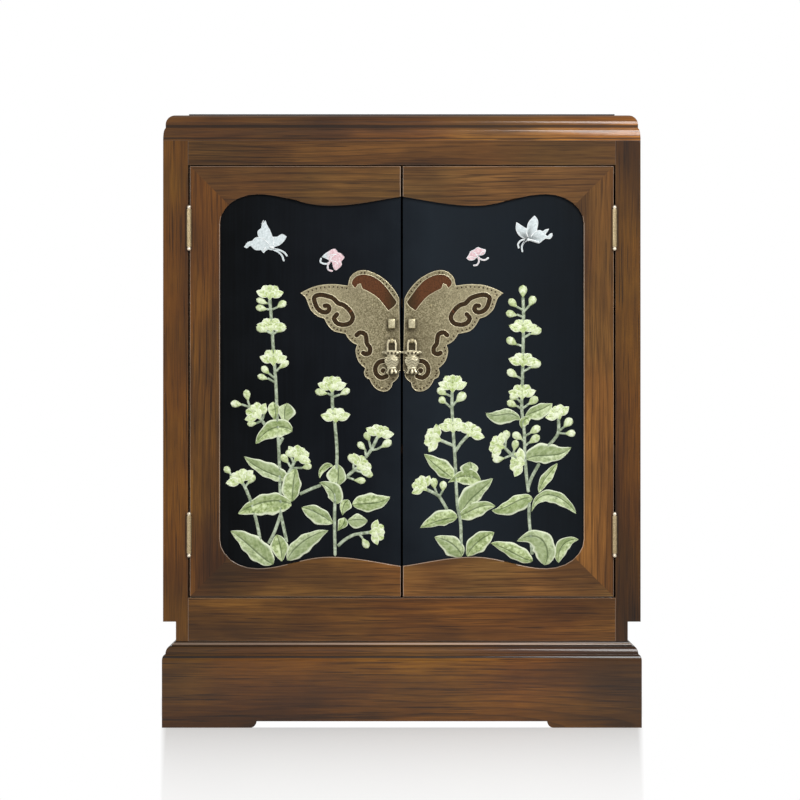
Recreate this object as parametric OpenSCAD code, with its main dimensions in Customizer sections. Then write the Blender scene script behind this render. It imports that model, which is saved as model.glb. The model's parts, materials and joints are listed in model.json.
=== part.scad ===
/* [Carcass] */
// Width over the corner posts
carcass_w = 780; // [740:1:860]
// Depth of the carcass, front to back, over the posts
carcass_d = 360; // [320:1:420]
// Side of a square corner post
post_w = 41; // [38:0.5:46]
// Height of the door opening
opening_h = 707; // [690:1:760]
// Height of the rail above the doors
top_rail_h = 40; // [32:1:60]
// Height of the rail below the doors
bottom_rail_h = 71; // [60:1:90]
// Thickness of the front and back rails
rail_t = 28; // [26:0.5:32]
// Thickness of the side rails
side_rail_t = 32; // [30:0.5:36]
// Thickness of a rail's tenon
tenon_t = 10; // [8:0.5:11]
// Length of a rail's tenon
tenon_len = 15; // [10:0.5:16]
// Wood left above and below a tenon
tenon_shoulder = 6; // [4:0.5:10]
// Thickness of the side panels
side_panel_t = 10; // [8:0.5:12]
// Thickness of the back panel
back_panel_t = 8; // [6:0.5:10]
// How far the side and back panels lie behind the posts' faces
panel_set_back = 8; // [6:0.5:9]
// Depth of the grooves that hold the panels
groove = 8; // [5:0.5:10]

/* [Waist and base] */
// Height of the recess that runs round the sides below the carcass
waist_h = 32; // [20:1:36]
// Depth of that recess
waist_in = 21; // [14:0.5:22]
// Height of the moulded base
base_h = 140; // [120:1:170]
// How far the base's moulding steps out from the waist
base_out = 22; // [21:0.5:26]
// Thickness of the base's boards
base_t = 22; // [18:0.5:26]
// Width of the ledge that carries the carcass, behind the moulding
base_seat = 20; // [14:0.5:24]
// Height of that thicker upper part of the base
base_seat_h = 35; // [34:0.5:50]
// Width of a foot at the front and the back
foot_w = 144; // [110:1:170]
// Width of a foot at the sides
side_foot_w = 96; // [80:1:110]
// Height of the cut between the feet
foot_cut = 10.5; // [6:0.5:16]
// Slope and rounding beside a foot
foot_slope = 10; // [6:0.5:16]
// Side of the glue blocks in the corners of the base
block_w = 30; // [20:1:40]

/* [Top] */
// Height of the moulded frame round the top
top_h = 42; // [38:0.5:50]
// Radius of the upper roll
top_roll = 16; // [15:0.5:20]
// How far the upper roll lies behind the carcass's face
top_step = 4; // [3:0.25:5]
// Width of the ledge under the top panel
top_ledge = 10; // [8:0.5:16]
// Thickness of the top panel
top_panel_t = 12; // [10:0.5:16]
// How far the top panel stands above its frame
top_panel_proud = 3; // [1:0.25:4]

/* [Doors] */
// Thickness of a door
door_t = 23; // [22:0.5:25]
// Gap between a door and its post
side_gap = 3; // [2.9:0.05:3.4]
// Gap above and below a door
end_gap = 2; // [1.5:0.1:3]
// Gap between the two doors
meeting_gap = 3.5; // [3:0.1:4]
// Width of the hinge stile, as seen from the front
stile_w = 49; // [46:0.5:54]
// Least height of the wavy rails, as seen from the front
door_rail_h = 46; // [44:0.5:52]
// Rise of the wave along a rail
wave_h = 19; // [12:0.5:22]
// Width of the round corner of the panel
corner_w = 61; // [48:0.5:66]
// Height of the round corner of the panel
corner_h = 48; // [40:0.5:60]
// Width of the frame behind the panel's rebate
frame_back_w = 37; // [34:0.5:39]
// How far the panel lies behind the frame's face
panel_recess = 6.5; // [6:0.25:8]
// Thickness of the carved inlay
inlay_t = 2.5; // [1.5:0.1:3]
// Width of the inlaid main stems
stem_w = 5; // [4:0.25:6]
// Width of the inlaid twigs
twig_w = 3.4; // [2.5:0.1:4]

/* [Hinges] */
// Diameter of a hinge's barrel
barrel_d = 7.8; // [7:0.1:7.8]
// Length of a hinge's barrel
barrel_h = 61; // [54:1:70]
// Height of a hinge's middle from the end of the opening
hinge_inset = 103; // [90:1:130]
// How far the hinge's axis stands out from the front
axis_out = 4; // [4:0.1:4.4]
// Thickness of a hinge leaf
leaf_t = 1.3; // [1.1:0.05:1.35]
// Width of a hinge leaf in the gap beside the door
leaf_w = 19; // [16:0.5:20]
// Diameter of a hinge pin
pin_d = 4; // [3.4:0.1:4.4]
// Radial running clearance of the pins and the pulls' bars
running_gap = 0.05; // [0.03:0.01:0.08]
// Gap between the knuckles
knuckle_gap = 0.2; // [0.15:0.05:0.3]
// Diameter of the ball at each end of a pin
ball_d = 6.6; // [5:0.1:7]
// Diameter of a screw's shank
screw_d = 2.8; // [2.4:0.1:3.2]
// Length of a screw
screw_len = 14; // [10:0.5:18]

/* [Lock plate and pulls] */
// Height of the pulls' pivots in the opening, as a share of its height
pull_share = 0.594; // [0.58:0.002:0.61]
// Distance of a pull from the meeting line
pull_u = 16.5; // [16:0.1:20]
// Thickness of the butterfly plate
plate_t = 2; // [1.6:0.1:2.4]
// Depth of the bands sunk into the plate
plate_sunk = 1; // [0.6:0.1:1.2]
// Distance of the plate's straight edge from the meeting line
plate_edge = 2; // [1.8:0.1:3]
// Diameter of the bar that the pull swings on
pull_bar_d = 3; // [2.6:0.1:3.2]
// Outer diameter of the pull's eye
eye_d = 8.4; // [8:0.1:8.6]
// Width of the pull's eye
eye_w = 5; // [4:0.1:5.4]
// Distance of the pull's pivot from the plate
pull_out = 5; // [5:0.1:6]
// Gap between the hanging pull and the plate
pull_gap = 0.5; // [0.3:0.1:0.8]
// Thickness of the hanging basket
basket_t = 7; // [5.5:0.1:7.4]
// Height of the lock staple's middle above the pulls' pivots
staple_up = 28; // [26:0.5:34]
// Width, height and reach of a lock staple
staple_w = 11; // [9:0.5:12]
// Height of a lock staple
staple_h = 16; // [15:0.5:18]
// Reach of a lock staple from the plate
staple_out = 9; // [8.5:0.5:11]
// Thickness of a lock staple's metal
staple_t = 2.6; // [2:0.1:3]
// Diameter of a plate nail's head
nail_head_d = 4; // [3:0.1:5]

/* [Inside] */
// Thickness of the floor board
floor_t = 15; // [12:0.5:18]
// Width of the rebate that carries the floor board
floor_rebate = 10; // [8:0.5:12]
// Thickness of the shelves
shelf_t = 15; // [12:0.5:20]
// Height of the lower shelf's top above the floor board
shelf_1 = 250; // [200:1:280]
// Height of the upper shelf's top above the floor board
shelf_2 = 490; // [440:1:540]
// Height and thickness of the shelf cleats
cleat_h = 16; // [12:0.5:24]
// Thickness of the shelf cleats
cleat_t = 12; // [10:0.5:16]
// Play round a shelf
shelf_play = 1; // [0.5:0.1:2]
// Height of the strip that the doors close against
stop_h = 12; // [8:0.5:16]
// Gap between a closed door and that strip
stop_gap = 0.3; // [0.3:0.1:0.6]

/* [Hidden] */
$fn = 48;

LEFT = -1;
RIGHT = 1;
walnut = "saddlebrown";
dark_walnut = "sienna";
black_lacquer = [0.12, 0.14, 0.18];
jade = [0.72, 0.78, 0.56];
pale_jade = [0.9, 0.93, 0.76];
white_stone = [0.92, 0.93, 0.93];
old_brass = [0.6, 0.55, 0.42];
bright_brass = [0.84, 0.75, 0.56];

// Cuts run this far past a face
over = 1;
xo = carcass_w / 2;
xi = xo - post_w;
y0 = (base_out - carcass_d) / 2;
y1 = y0 + carcass_d;
foot_z = base_h + bottom_rail_h;
head_z = foot_z + opening_h;
top_z = head_z + top_rail_h;
tenon_lap = tenon_shoulder + 3;
side_panel_x = xo - panel_set_back - side_panel_t;
back_panel_y = y1 - panel_set_back - back_panel_t;

// Placing helpers

// A shape drawn for the right side, mirrored for the left
module on_side(side) {
    if (side == LEFT) mirror([1, 0, 0]) children();
    else children();
}

// A front view outline, u from the meeting line and v from the foot of the opening, t thick forward of y
module raised(y, t) {
    translate([0, y, foot_z]) rotate([90, 0, 0]) linear_extrude(t) children();
}

// A box from its two corners
module block(low, high) {
    translate(low) cube(high - low);
}

// Curves

function cubic(p, t) =
    pow(1 - t, 3) * p[0] + 3 * pow(1 - t, 2) * t * p[1] + 3 * (1 - t) * t * t * p[2] + pow(t, 3) * p[3];
function unit(v) = v / norm(v);
function left_of(v) = [-v[1], v[0]];
function last(list) = list[len(list) - 1];
function backwards(list) = [for (i = [len(list) - 1:-1:0]) list[i]];

// A smooth curve through four neighbouring points, between the middle two
function through(a, b, c, d, t) =
    0.5 * (2 * b + (c - a) * t + (2 * a - 5 * b + 4 * c - d) * t * t + (3 * b - a - 3 * c + d) * t * t * t);

// A smooth curve through points, without the last one
function curve(p, steps) = [
    for (i = [0:len(p) - 2])
        let (a = i > 0 ? p[i - 1] : 2 * p[0] - p[1],
             d = i < len(p) - 2 ? p[i + 2] : 2 * last(p) - p[len(p) - 2])
            for (j = [0:steps - 1]) through(a, p[i], p[i + 1], d, j / steps)
];

// Runs of smooth curve that meet at sharp corners, each run's end being the next run's start
function runs(list, steps) = [for (run = list) each curve(run, steps)];

// A band along a smooth curve, with round ends
function band(points, w, steps = 3) =
    let (line = concat(curve(points, steps), [last(points)]),
         n = len(line),
         along = [for (i = [0:n - 1]) unit(line[min(i + 1, n - 1)] - line[max(i - 1, 0)])],
         a = along[0],
         b = along[n - 1])
        concat(
            [for (i = [0:n - 1]) line[i] - left_of(along[i]) * w / 2],
            [for (s = [-60:30:60]) line[n - 1] + (b * cos(s) + left_of(b) * sin(s)) * w / 2],
            [for (i = [n - 1:-1:0]) line[i] + left_of(along[i]) * w / 2],
            [for (s = [60:-30:-60]) line[0] - (a * cos(s) - left_of(a) * sin(s)) * w / 2]
        );

// Mouldings, as outlines of distance inwards from the face and height

function quarter(u, z, du, dz, steps = 6) =
    [for (i = [0:steps]) [u + du * (1 - cos(90 * i / steps)), z + dz * sin(90 * i / steps)]];

// The base: plain face, two rolls, a quirk and two small beads, and a ledge behind
base_face_h = base_h - 31;
function base_profile() = concat(
    [[0, 0]],
    quarter(0, base_face_h, 4.5, 9.5),
    quarter(5.4, base_face_h + 10.1, 8.2, 13.3),
    [[15.6, base_face_h + 23.4]],
    quarter(15.6, base_face_h + 25, 2.4, 2.6, 3),
    [[19, base_face_h + 27.6]],
    quarter(19, base_face_h + 28.6, base_out - 19, base_h - base_face_h - 28.6, 3),
    [[base_out + base_seat, base_h], [base_out + base_seat, base_h - base_seat_h],
     [base_t, base_h - base_seat_h], [base_t, 0]]
);

// The top: a shallow lower roll, a short upright fillet and a large upper roll
top_roll_z = top_h - top_roll;
top_member_w = post_w + top_ledge;
top_rebate = top_panel_t - top_panel_proud;
function top_profile(moulded) = concat(
    moulded ? concat([[0, 0]], quarter(0, 2, top_step, top_roll_z - 8),
                     quarter(top_step, top_roll_z, top_roll, top_roll, 10))
            : [[0, 0], [0, top_h]],
    [[post_w, top_h], [post_w, top_h - top_rebate],
     [top_member_w, top_h - top_rebate], [top_member_w, 0]]
);

// A moulded length along the front, its face at y
module run_along_front(profile, half, y, z) {
    translate([-half, y, z]) rotate([90, 0, 90]) linear_extrude(2 * half) polygon(profile);
}

// A moulded length along the right side, its face at x
module run_along_side(profile, x, from, to, z) {
    translate([x, to, z]) rotate([90, 0, 0]) linear_extrude(to - from)
        polygon([for (p = profile) [-p[0], p[1]]]);
}

// The plan of a member mitred at both ends, and of one mitred at the front end only
module front_mitre(half, y, w, z, h) {
    translate([0, 0, z - over]) linear_extrude(h + 2 * over)
        polygon([[-half, y], [half, y], [half - w, y + w], [w - half, y + w]]);
}
module side_mitre(half, y, back, w, z, h) {
    translate([0, 0, z - over]) linear_extrude(h + 2 * over)
        polygon([[half, y], [half, back], [half - w, back], [half - w, y + w]]);
}

// The cut between two feet, seen square to the board, across a length
module feet_gap(from, to) {
    polygon([[from, -over], each [for (a = [0:15:90]) [from + foot_slope * sin(a), foot_cut * (1 - cos(a))]],
             each [for (a = [90:-15:0]) [to - foot_slope * sin(a), foot_cut * (1 - cos(a))]], [to, -over]]);
}

// Base

base_half = xo - waist_in + base_out;
base_y = y0 - base_out;
base_deep = base_out + base_seat;
base_cut = 2 * base_deep;

module base_front() {
    color(walnut) difference() {
        intersection() {
            run_along_front(base_profile(), base_half, base_y, 0);
            front_mitre(base_half, base_y, base_deep, 0, base_h);
        }
        translate([0, base_y + base_cut, 0]) rotate([90, 0, 0]) linear_extrude(2 * base_cut)
            feet_gap(foot_w - base_half, base_half - foot_w);
    }
}

module base_side(side) {
    color(walnut) on_side(side) difference() {
        intersection() {
            run_along_side(base_profile(), base_half, base_y, y1, 0);
            side_mitre(base_half, base_y, y1, base_deep, 0, base_h);
        }
        translate([base_half - base_cut, 0, 0]) rotate([90, 0, 90]) linear_extrude(2 * base_cut)
            feet_gap(base_y + side_foot_w, y1 - side_foot_w);
    }
}

// The back board fits between the side members and stands flush with the back
module base_back() {
    color(dark_walnut) difference() {
        union() {
            block([base_t - base_half, y1 - base_t, 0], [base_half - base_t, y1, base_h - base_seat_h]);
            block([base_deep - base_half, y1 - base_t - base_seat, base_h - base_seat_h],
                  [base_half - base_deep, y1, base_h]);
        }
        translate([0, y1 + base_cut, 0]) rotate([90, 0, 0]) linear_extrude(2 * base_cut)
            feet_gap(foot_w - base_half, base_half - foot_w);
    }
}

module base_blocks() {
    color(dark_walnut) for (side = [LEFT, RIGHT]) on_side(side) for (back = [false, true]) {
        y = back ? y1 - base_t - block_w : base_y + base_t;
        block([base_half - base_t - block_w, y, foot_cut],
              [base_half - base_t, y + block_w, base_h - base_seat_h]);
    }
}

// Top

module top_frame_front() {
    color(walnut) intersection() {
        run_along_front(top_profile(true), xo, y0, top_z);
        front_mitre(xo, y0, top_member_w, top_z, top_h);
    }
}

module top_frame_side(side) {
    color(walnut) on_side(side) intersection() {
        run_along_side(top_profile(true), xo, y0, y1, top_z);
        side_mitre(xo, y0, y1, top_member_w, top_z, top_h);
    }
}

// The back member fits between the side members
module top_frame_back() {
    color(dark_walnut) translate([0, y1, top_z]) rotate([90, 0, 90]) translate([0, 0, top_member_w - xo])
        linear_extrude(2 * (xo - top_member_w)) polygon([for (p = top_profile(false)) [-p[0], p[1]]]);
    color(dark_walnut) for (side = [LEFT, RIGHT]) on_side(side)
        block([xo - top_member_w, y1 - post_w, top_z + top_h - top_rebate], [xi, y1, top_z + top_h]);
}

module top_panel() {
    color(black_lacquer)
        block([-xi, y0 + post_w, top_z + top_h - top_rebate], [xi, y1 - post_w, top_z + top_h + top_panel_proud]);
}

// Carcass

// A tenon of a front or back rail in the right-hand post, its face outside at y
module rail_tenon(y, z, h) {
    block([xi - over, y, z + tenon_shoulder], [xi + tenon_len, y + tenon_t, z + h - tenon_shoulder]);
}

// The tenons of the right-hand side rails, front and back
module side_rail_tenon(low, high) {
    x = xo - side_rail_t + tenon_shoulder + 2;
    block([x, y0 + post_w - tenon_len, low], [x + tenon_t, y0 + post_w + over, high]);
    block([x, y1 - post_w - over, low], [x + tenon_t, y1 - post_w + tenon_len, high]);
}

front_tenon_y = y0 + tenon_lap;
back_tenon_y = y1 - tenon_lap - tenon_t;
waist_top = base_h + waist_h;

module side_rail_tenons() {
    side_rail_tenon(head_z + tenon_shoulder, top_z - tenon_shoulder);
    side_rail_tenon(waist_top + tenon_shoulder, foot_z - tenon_shoulder);
}

module side_panel_shape() {
    block([side_panel_x, y0 + post_w - groove, foot_z - groove],
          [side_panel_x + side_panel_t, y1 - post_w + groove, head_z + groove]);
}

module back_panel_shape() {
    block([-xi - groove, back_panel_y, foot_z - groove],
          [xi + groove, back_panel_y + back_panel_t, head_z + groove]);
}

module post(side, y, tenon_y) {
    color(walnut) on_side(side) difference() {
        block([xi, y, base_h], [xo, y + post_w, top_z]);
        block([xo - waist_in, y - over, base_h - over], [xo + over, y + post_w + over, waist_top]);
        rail_tenon(tenon_y, head_z, top_rail_h);
        rail_tenon(tenon_y, base_h, bottom_rail_h);
        side_rail_tenons();
        side_panel_shape();
        if (y == y0) hinge_places() post_screws();
        else back_panel_shape();
    }
}

module cross_rail(y, tenon_y, z, h) {
    block([-xi, y, z], [xi, y + rail_t, z + h]);
    for (side = [LEFT, RIGHT]) on_side(side) rail_tenon(tenon_y, z, h);
}

module floor_shape() {
    difference() {
        block([side_rail_t - floor_rebate - xo, y0 + rail_t - floor_rebate, foot_z - floor_t],
              [xo - side_rail_t + floor_rebate, y1 - rail_t + floor_rebate, foot_z]);
        for (side = [LEFT, RIGHT]) on_side(side) {
            block([xi, y0, foot_z - floor_t - over], [xo, y0 + post_w, foot_z + over]);
            block([xi, y1 - post_w, foot_z - floor_t - over], [xo, y1, foot_z + over]);
        }
    }
}

module front_top_rail() {
    color(walnut) cross_rail(y0, front_tenon_y, head_z, top_rail_h);
}

module front_bottom_rail() {
    color(walnut) difference() {
        cross_rail(y0, front_tenon_y, base_h, bottom_rail_h);
        floor_shape();
    }
}

module back_top_rail() {
    color(dark_walnut) difference() {
        cross_rail(y1 - rail_t, back_tenon_y, head_z, top_rail_h);
        back_panel_shape();
    }
}

module back_bottom_rail() {
    color(dark_walnut) difference() {
        cross_rail(y1 - rail_t, back_tenon_y, base_h, bottom_rail_h);
        back_panel_shape();
        floor_shape();
    }
}

module side_top_rail(side) {
    color(walnut) on_side(side) difference() {
        union() {
            block([xo - side_rail_t, y0 + post_w, head_z], [xo, y1 - post_w, top_z]);
            side_rail_tenon(head_z + tenon_shoulder, top_z - tenon_shoulder);
        }
        side_panel_shape();
    }
}

module side_bottom_rail(side) {
    color(walnut) on_side(side) difference() {
        union() {
            block([xo - side_rail_t, y0 + post_w, base_h], [xo, y1 - post_w, foot_z]);
            side_rail_tenon(waist_top + tenon_shoulder, foot_z - tenon_shoulder);
        }
        block([xo - waist_in, y0, base_h - over], [xo + over, y1, waist_top]);
        side_panel_shape();
        floor_shape();
    }
}

module side_panel(side) {
    color(walnut) on_side(side) side_panel_shape();
}

module back_panel() {
    color(dark_walnut) back_panel_shape();
}

module floor_board() {
    color(dark_walnut) floor_shape();
}

// Shelves, notched round the posts and laid on cleats along the side panels

shelf_tops = [foot_z + shelf_1, foot_z + shelf_2];
shelf_y = y0 + post_w + shelf_play;

module shelves() {
    color(dark_walnut) for (z = shelf_tops) difference() {
        block([shelf_play - side_panel_x, shelf_y, z - shelf_t],
              [side_panel_x - shelf_play, back_panel_y - shelf_play, z]);
        for (side = [LEFT, RIGHT]) on_side(side)
            block([xi - shelf_play, y1 - post_w - shelf_play, z - shelf_t - over], [xo, y1, z + over]);
    }
}

module shelf_cleats() {
    color(dark_walnut) for (z = shelf_tops) for (side = [LEFT, RIGHT]) on_side(side)
        block([side_panel_x - cleat_t, y0 + post_w, z - shelf_t - cleat_h],
              [side_panel_x, y1 - post_w, z - shelf_t]);
}

module door_stop() {
    color(dark_walnut)
        block([-xi, y0 + door_t + stop_gap, head_z - stop_h], [xi, y0 + post_w, head_z]);
}

// Doors

door_in = meeting_gap / 2;
door_out = xi - side_gap;
door_low = end_gap;
door_high = opening_h - end_gap;
panel_out = door_out - stile_w;
panel_y = y0 + panel_recess;
door_back = y0 + door_t;
crest_u = 0.4 * panel_out;
inner_run = 1.42 * crest_u;
outer_run = panel_out - corner_w - crest_u;
lip_low = door_low + door_rail_h;

// Height of the lower wave at a distance from the meeting line
function wave(u) =
    let (run = u < crest_u ? inner_run : outer_run)
        lip_low + wave_h * (1 + cos(180 * abs(u - crest_u) / run)) / 2;

wave_steps = 24;
function wave_line() = concat(
    [for (i = [0:wave_steps]) let (u = i / wave_steps * (panel_out - corner_w)) [u, wave(u)]],
    [for (a = [15:15:90]) [panel_out - corner_w * (1 - sin(a)), lip_low + corner_h * (1 - cos(a))]]
);

// The panel's opening in the frame, past the meeting edge so that the frame is left open there
module panel_window() {
    low = concat([[-over, wave(0)]], wave_line());
    polygon(concat(low, backwards([for (p = low) [p[0], opening_h - p[1]]])));
}

// The C-shaped frame: a wavy lip in front and a straight rebated back
module door_frame() {
    raised(panel_y, panel_recess) difference() {
        translate([door_in, door_low]) square([door_out - door_in, door_high - door_low]);
        panel_window();
    }
    raised(door_back, door_t - panel_recess) difference() {
        translate([door_in, door_low]) square([door_out - door_in, door_high - door_low]);
        panel_board();
    }
}

module panel_board() {
    translate([0, door_low + frame_back_w])
        square([door_out - frame_back_w, door_high - door_low - 2 * frame_back_w]);
}

mitre = 90;

// Plan of the stile's share of the frame, and of a rail's, cut at 45 degrees from the outer corner
module stile_share() {
    raised(door_back + over, door_t + 2 * over)
        polygon([[door_out, door_low], [door_out, door_high],
                 [door_out - mitre, door_high - mitre], [door_out - mitre, door_low + mitre]]);
}
module rail_share(edge, way) {
    raised(door_back + over, door_t + 2 * over)
        polygon([[0, edge], [door_out, edge], [door_out - mitre, edge + way * mitre], [0, edge + way * mitre]]);
}

module door_stile(side) {
    color(walnut) on_side(side) difference() {
        intersection() {
            door_frame();
            stile_share();
        }
        hinge_places() door_screws();
    }
}

module door_top_rail(side) {
    color(walnut) on_side(side) intersection() {
        door_frame();
        rail_share(door_high, -1);
    }
}

module door_bottom_rail(side) {
    color(walnut) on_side(side) intersection() {
        door_frame();
        rail_share(door_low, 1);
    }
}

module door_panel(side) {
    color(black_lacquer) on_side(side) difference() {
        raised(door_back, door_t - panel_recess) difference() {
            panel_board();
            translate([-over, 0]) square([door_in + over, opening_h]);
        }
        staple_shape();
        eye_shape();
        plate_nail_places() nail_shank();
    }
}

// Inlay, drawn in millimetres from the meeting line and the foot of the opening, for a panel of this
// width and an opening of this height, and spread to fit the panel
art_w = 297;
art_h = 707;
spread = [panel_out / art_w, opening_h / art_h];
function spot(p) = [p[0] * spread[0], p[1] * spread[1]];
function spots(list) = [for (p = list) spot(p)];

// A leaf: four points that steer its midrib from base to tip, its width, and where it is widest
function leaf_width(t, fat) = pow(sin(180 * pow(t, ln(0.5) / ln(fat))), 0.8);
function leaf(p, w, fat) =
    let (steps = 9,
         side = function (s) [for (i = [1:steps - 1])
             let (t = i / steps, d = unit(cubic(p, t + 0.02) - cubic(p, t - 0.02)))
                 cubic(p, t) + s * left_of(d) * w / 2 * leaf_width(t, fat)])
        concat([p[0]], side(-1), [p[3]], backwards(side(1)));

// A bud: a drop from its stalk to its round end
function bud(from, to, w) =
    let (d = unit(to - from), c = to - d * w / 2)
        concat([from - left_of(d) * w / 8],
               [for (a = [-105:30:105]) c + (d * cos(a) + left_of(d) * sin(a)) * w / 2],
               [from + left_of(d) * w / 8]);

// A flower head, as shares of its width and height, from its foot out to the wing and up to the crown
flower_half = [[0.05, 0], [0.17, 0.15], [0.27, 0.36], [0.42, 0.44], [0.5, 0.56], [0.45, 0.72],
               [0.36, 0.8], [0.29, 0.8], [0.23, 0.93], [0.12, 1], [0.05, 0.94]];
function flower(foot, lean, w, h) =
    let (turn = function (x, y) foot + [x * w * cos(lean) + y * h * sin(lean), y * h * cos(lean) - x * w * sin(lean)])
        concat([for (p = flower_half) turn(p[0], p[1])],
               backwards([for (p = flower_half) turn(-p[0], p[1])]));

// Main stems: the points that each goes through
left_stems = [
    [[216, 490], [213, 452], [210, 405], [206, 350], [204, 300], [201, 240], [199, 180], [198, 132]],
    [[198, 136], [208, 108], [218, 88]],
    [[198, 136], [193, 114], [188, 90]],
    [[231, 92], [236, 118], [241, 138], [247, 158], [256, 180], [262, 189]],
    [[187, 200], [180, 213], [174, 226]],
    [[222, 280], [229, 290], [235, 296]],
    [[202, 248], [194, 262]],
    [[114, 337], [113, 310], [109, 280], [106, 235], [108, 190], [110, 130], [109, 67]],
    [[60, 228], [50, 242], [39, 264]],
    [[92, 196], [83, 204], [72, 213]],
    [[105, 84], [94, 94], [80, 102], [66, 105], [51, 107]],
    [[167, 169], [150, 177], [132, 184]]
];
right_stems = [
    [[82, 337], [82, 310], [84, 270], [87, 225], [89, 180], [91, 150], [96, 122], [97, 85]],
    [[86, 248], [76, 252], [62, 258]],
    [[87, 238], [96, 252], [109, 266]],
    [[74, 144], [66, 158], [58, 168], [40, 177]],
    [[198, 492], [199, 455], [198, 400], [197, 350], [196, 310], [200, 270], [201, 235], [204, 195], [207, 172]],
    [[206, 178], [212, 196], [225, 220]],
    [[208, 156], [208, 130], [211, 95], [213, 70]],
    [[187, 228], [178, 235], [168, 245]],
    [[238, 247], [250, 260], [256, 272], [256, 295]]
];

// Twigs between a stem and a bud
left_twigs = [
    [[214, 470], [221, 472]], [[213, 478], [220, 482]], [[212, 471], [203, 475]],
    [[211, 430], [221, 436]], [[211, 430], [203, 436]],
    [[207, 358], [218, 367]], [[206, 351], [220, 359]], [[206, 369], [200, 376]],
    [[248, 311], [252, 323]], [[248, 311], [262, 316]], [[228, 290], [225, 300]], [[229, 289], [238, 285]],
    [[279, 199], [281, 205]], [[256, 181], [251, 188]],
    [[181, 212], [186, 221]], [[177, 220], [181, 230]], [[180, 212], [162, 212]],
    [[113, 330], [122, 334]], [[113, 328], [101, 332]],
    [[59, 232], [60, 243]], [[50, 242], [54, 257]], [[49, 241], [40, 243], [33, 247]],
    [[79, 207], [79, 220]], [[76, 208], [63, 204]], [[90, 197], [78, 193]],
    [[70, 104], [64, 97]]
];
right_twigs = [
    [[82, 328], [72, 333]], [[82, 309], [71, 319]], [[82, 312], [89, 321]],
    [[58, 168], [54, 179]], [[61, 165], [67, 175]],
    [[198, 470], [187, 476]], [[198, 459], [187, 463]], [[199, 467], [209, 478]],
    [[198, 424], [211, 432]], [[198, 411], [187, 414]],
    [[198, 369], [211, 377]], [[198, 356], [188, 362]],
    [[196, 318], [187, 326]], [[196, 308], [187, 314]], [[197, 309], [208, 317]],
    [[201, 264], [210, 269]], [[201, 248], [209, 254]],
    [[201, 254], [196, 259]], [[181, 233], [184, 242]], [[169, 243], [170, 258]], [[180, 233], [167, 228]],
    [[257, 272], [266, 280]], [[256, 269], [268, 268]]
];

// Leaves: the midrib's four points, the width, and the share of its length where it is widest
left_leaves = [
    [[[208, 289], [207, 300], [211, 310], [210, 320]], 20, 0.6],
    [[[190, 284], [190, 296], [188, 306], [187, 318]], 29, 0.6],
    [[[179, 272], [198, 284], [222, 276], [239, 251]], 31, 0.4],
    [[[186, 193], [205, 206], [236, 212], [258, 231]], 26, 0.4],
    [[[180, 157], [183, 178], [180, 196], [173, 213]], 32, 0.42],
    [[[180, 151], [205, 158], [238, 152], [268, 137]], 36, 0.42],
    [[[210, 55], [232, 74], [254, 98], [280, 109]], 36, 0.38],
    [[[196, 59], [198, 74], [201, 90], [205, 103]], 29, 0.55],
    [[[187, 61], [172, 80], [150, 99], [120, 110]], 29, 0.42],
    [[[107, 181], [107, 193], [106, 205], [106, 219]], 32, 0.5],
    [[[112, 214], [122, 221], [134, 210], [134, 195]], 11, 0.5],
    [[[108, 153], [104, 170], [113, 184], [135, 188]], 26, 0.38],
    [[[81, 152], [60, 158], [38, 152], [19, 165]], 30, 0.42],
    [[[97, 134], [96, 146], [91, 152], [87, 160]], 20, 0.62],
    [[[112, 122], [128, 128], [146, 142], [164, 147]], 28, 0.5],
    [[[105, 109], [99, 118], [95, 124], [94, 131]], 17, 0.6],
    [[[89, 126], [78, 124], [68, 125], [56, 126]], 24, 0.5]
];
right_leaves = [
    [[[84, 195], [73, 210], [56, 218], [36, 235]], 27, 0.4],
    [[[108, 190], [109, 203], [111, 212], [111, 222]], 29, 0.62],
    [[[75, 188], [95, 200], [112, 200], [129, 190]], 28, 0.62],
    [[[97, 139], [102, 166], [126, 176], [149, 195]], 30, 0.42],
    [[[92, 132], [112, 136], [130, 154], [153, 149]], 26, 0.45],
    [[[91, 131], [72, 136], [53, 128], [30, 114]], 26, 0.4],
    [[[98, 67], [89, 80], [75, 92], [53, 99]], 32, 0.42],
    [[[107, 67], [115, 84], [131, 96], [151, 107]], 31, 0.5],
    [[[194, 290], [176, 308], [158, 284], [137, 302]], 25, 0.5],
    [[[201, 296], [216, 302], [232, 304], [246, 318]], 25, 0.5],
    [[[199, 275], [196, 286], [202, 293], [212, 293]], 15, 0.5],
    [[[202, 226], [225, 246], [250, 226], [277, 246]], 33, 0.42],
    [[[224, 171], [228, 190], [243, 202], [254, 220]], 17, 0.5],
    [[[214, 161], [196, 164], [170, 136], [147, 143]], 27, 0.42],
    [[[212, 140], [222, 182], [262, 168], [285, 137]], 21, 0.55],
    [[[214, 60], [196, 68], [172, 86], [145, 89]], 25, 0.42],
    [[[233, 53], [240, 82], [226, 112], [188, 92]], 38, 0.38],
    [[[256, 57], [256, 80], [266, 96], [289, 95]], 22, 0.45]
];

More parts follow.
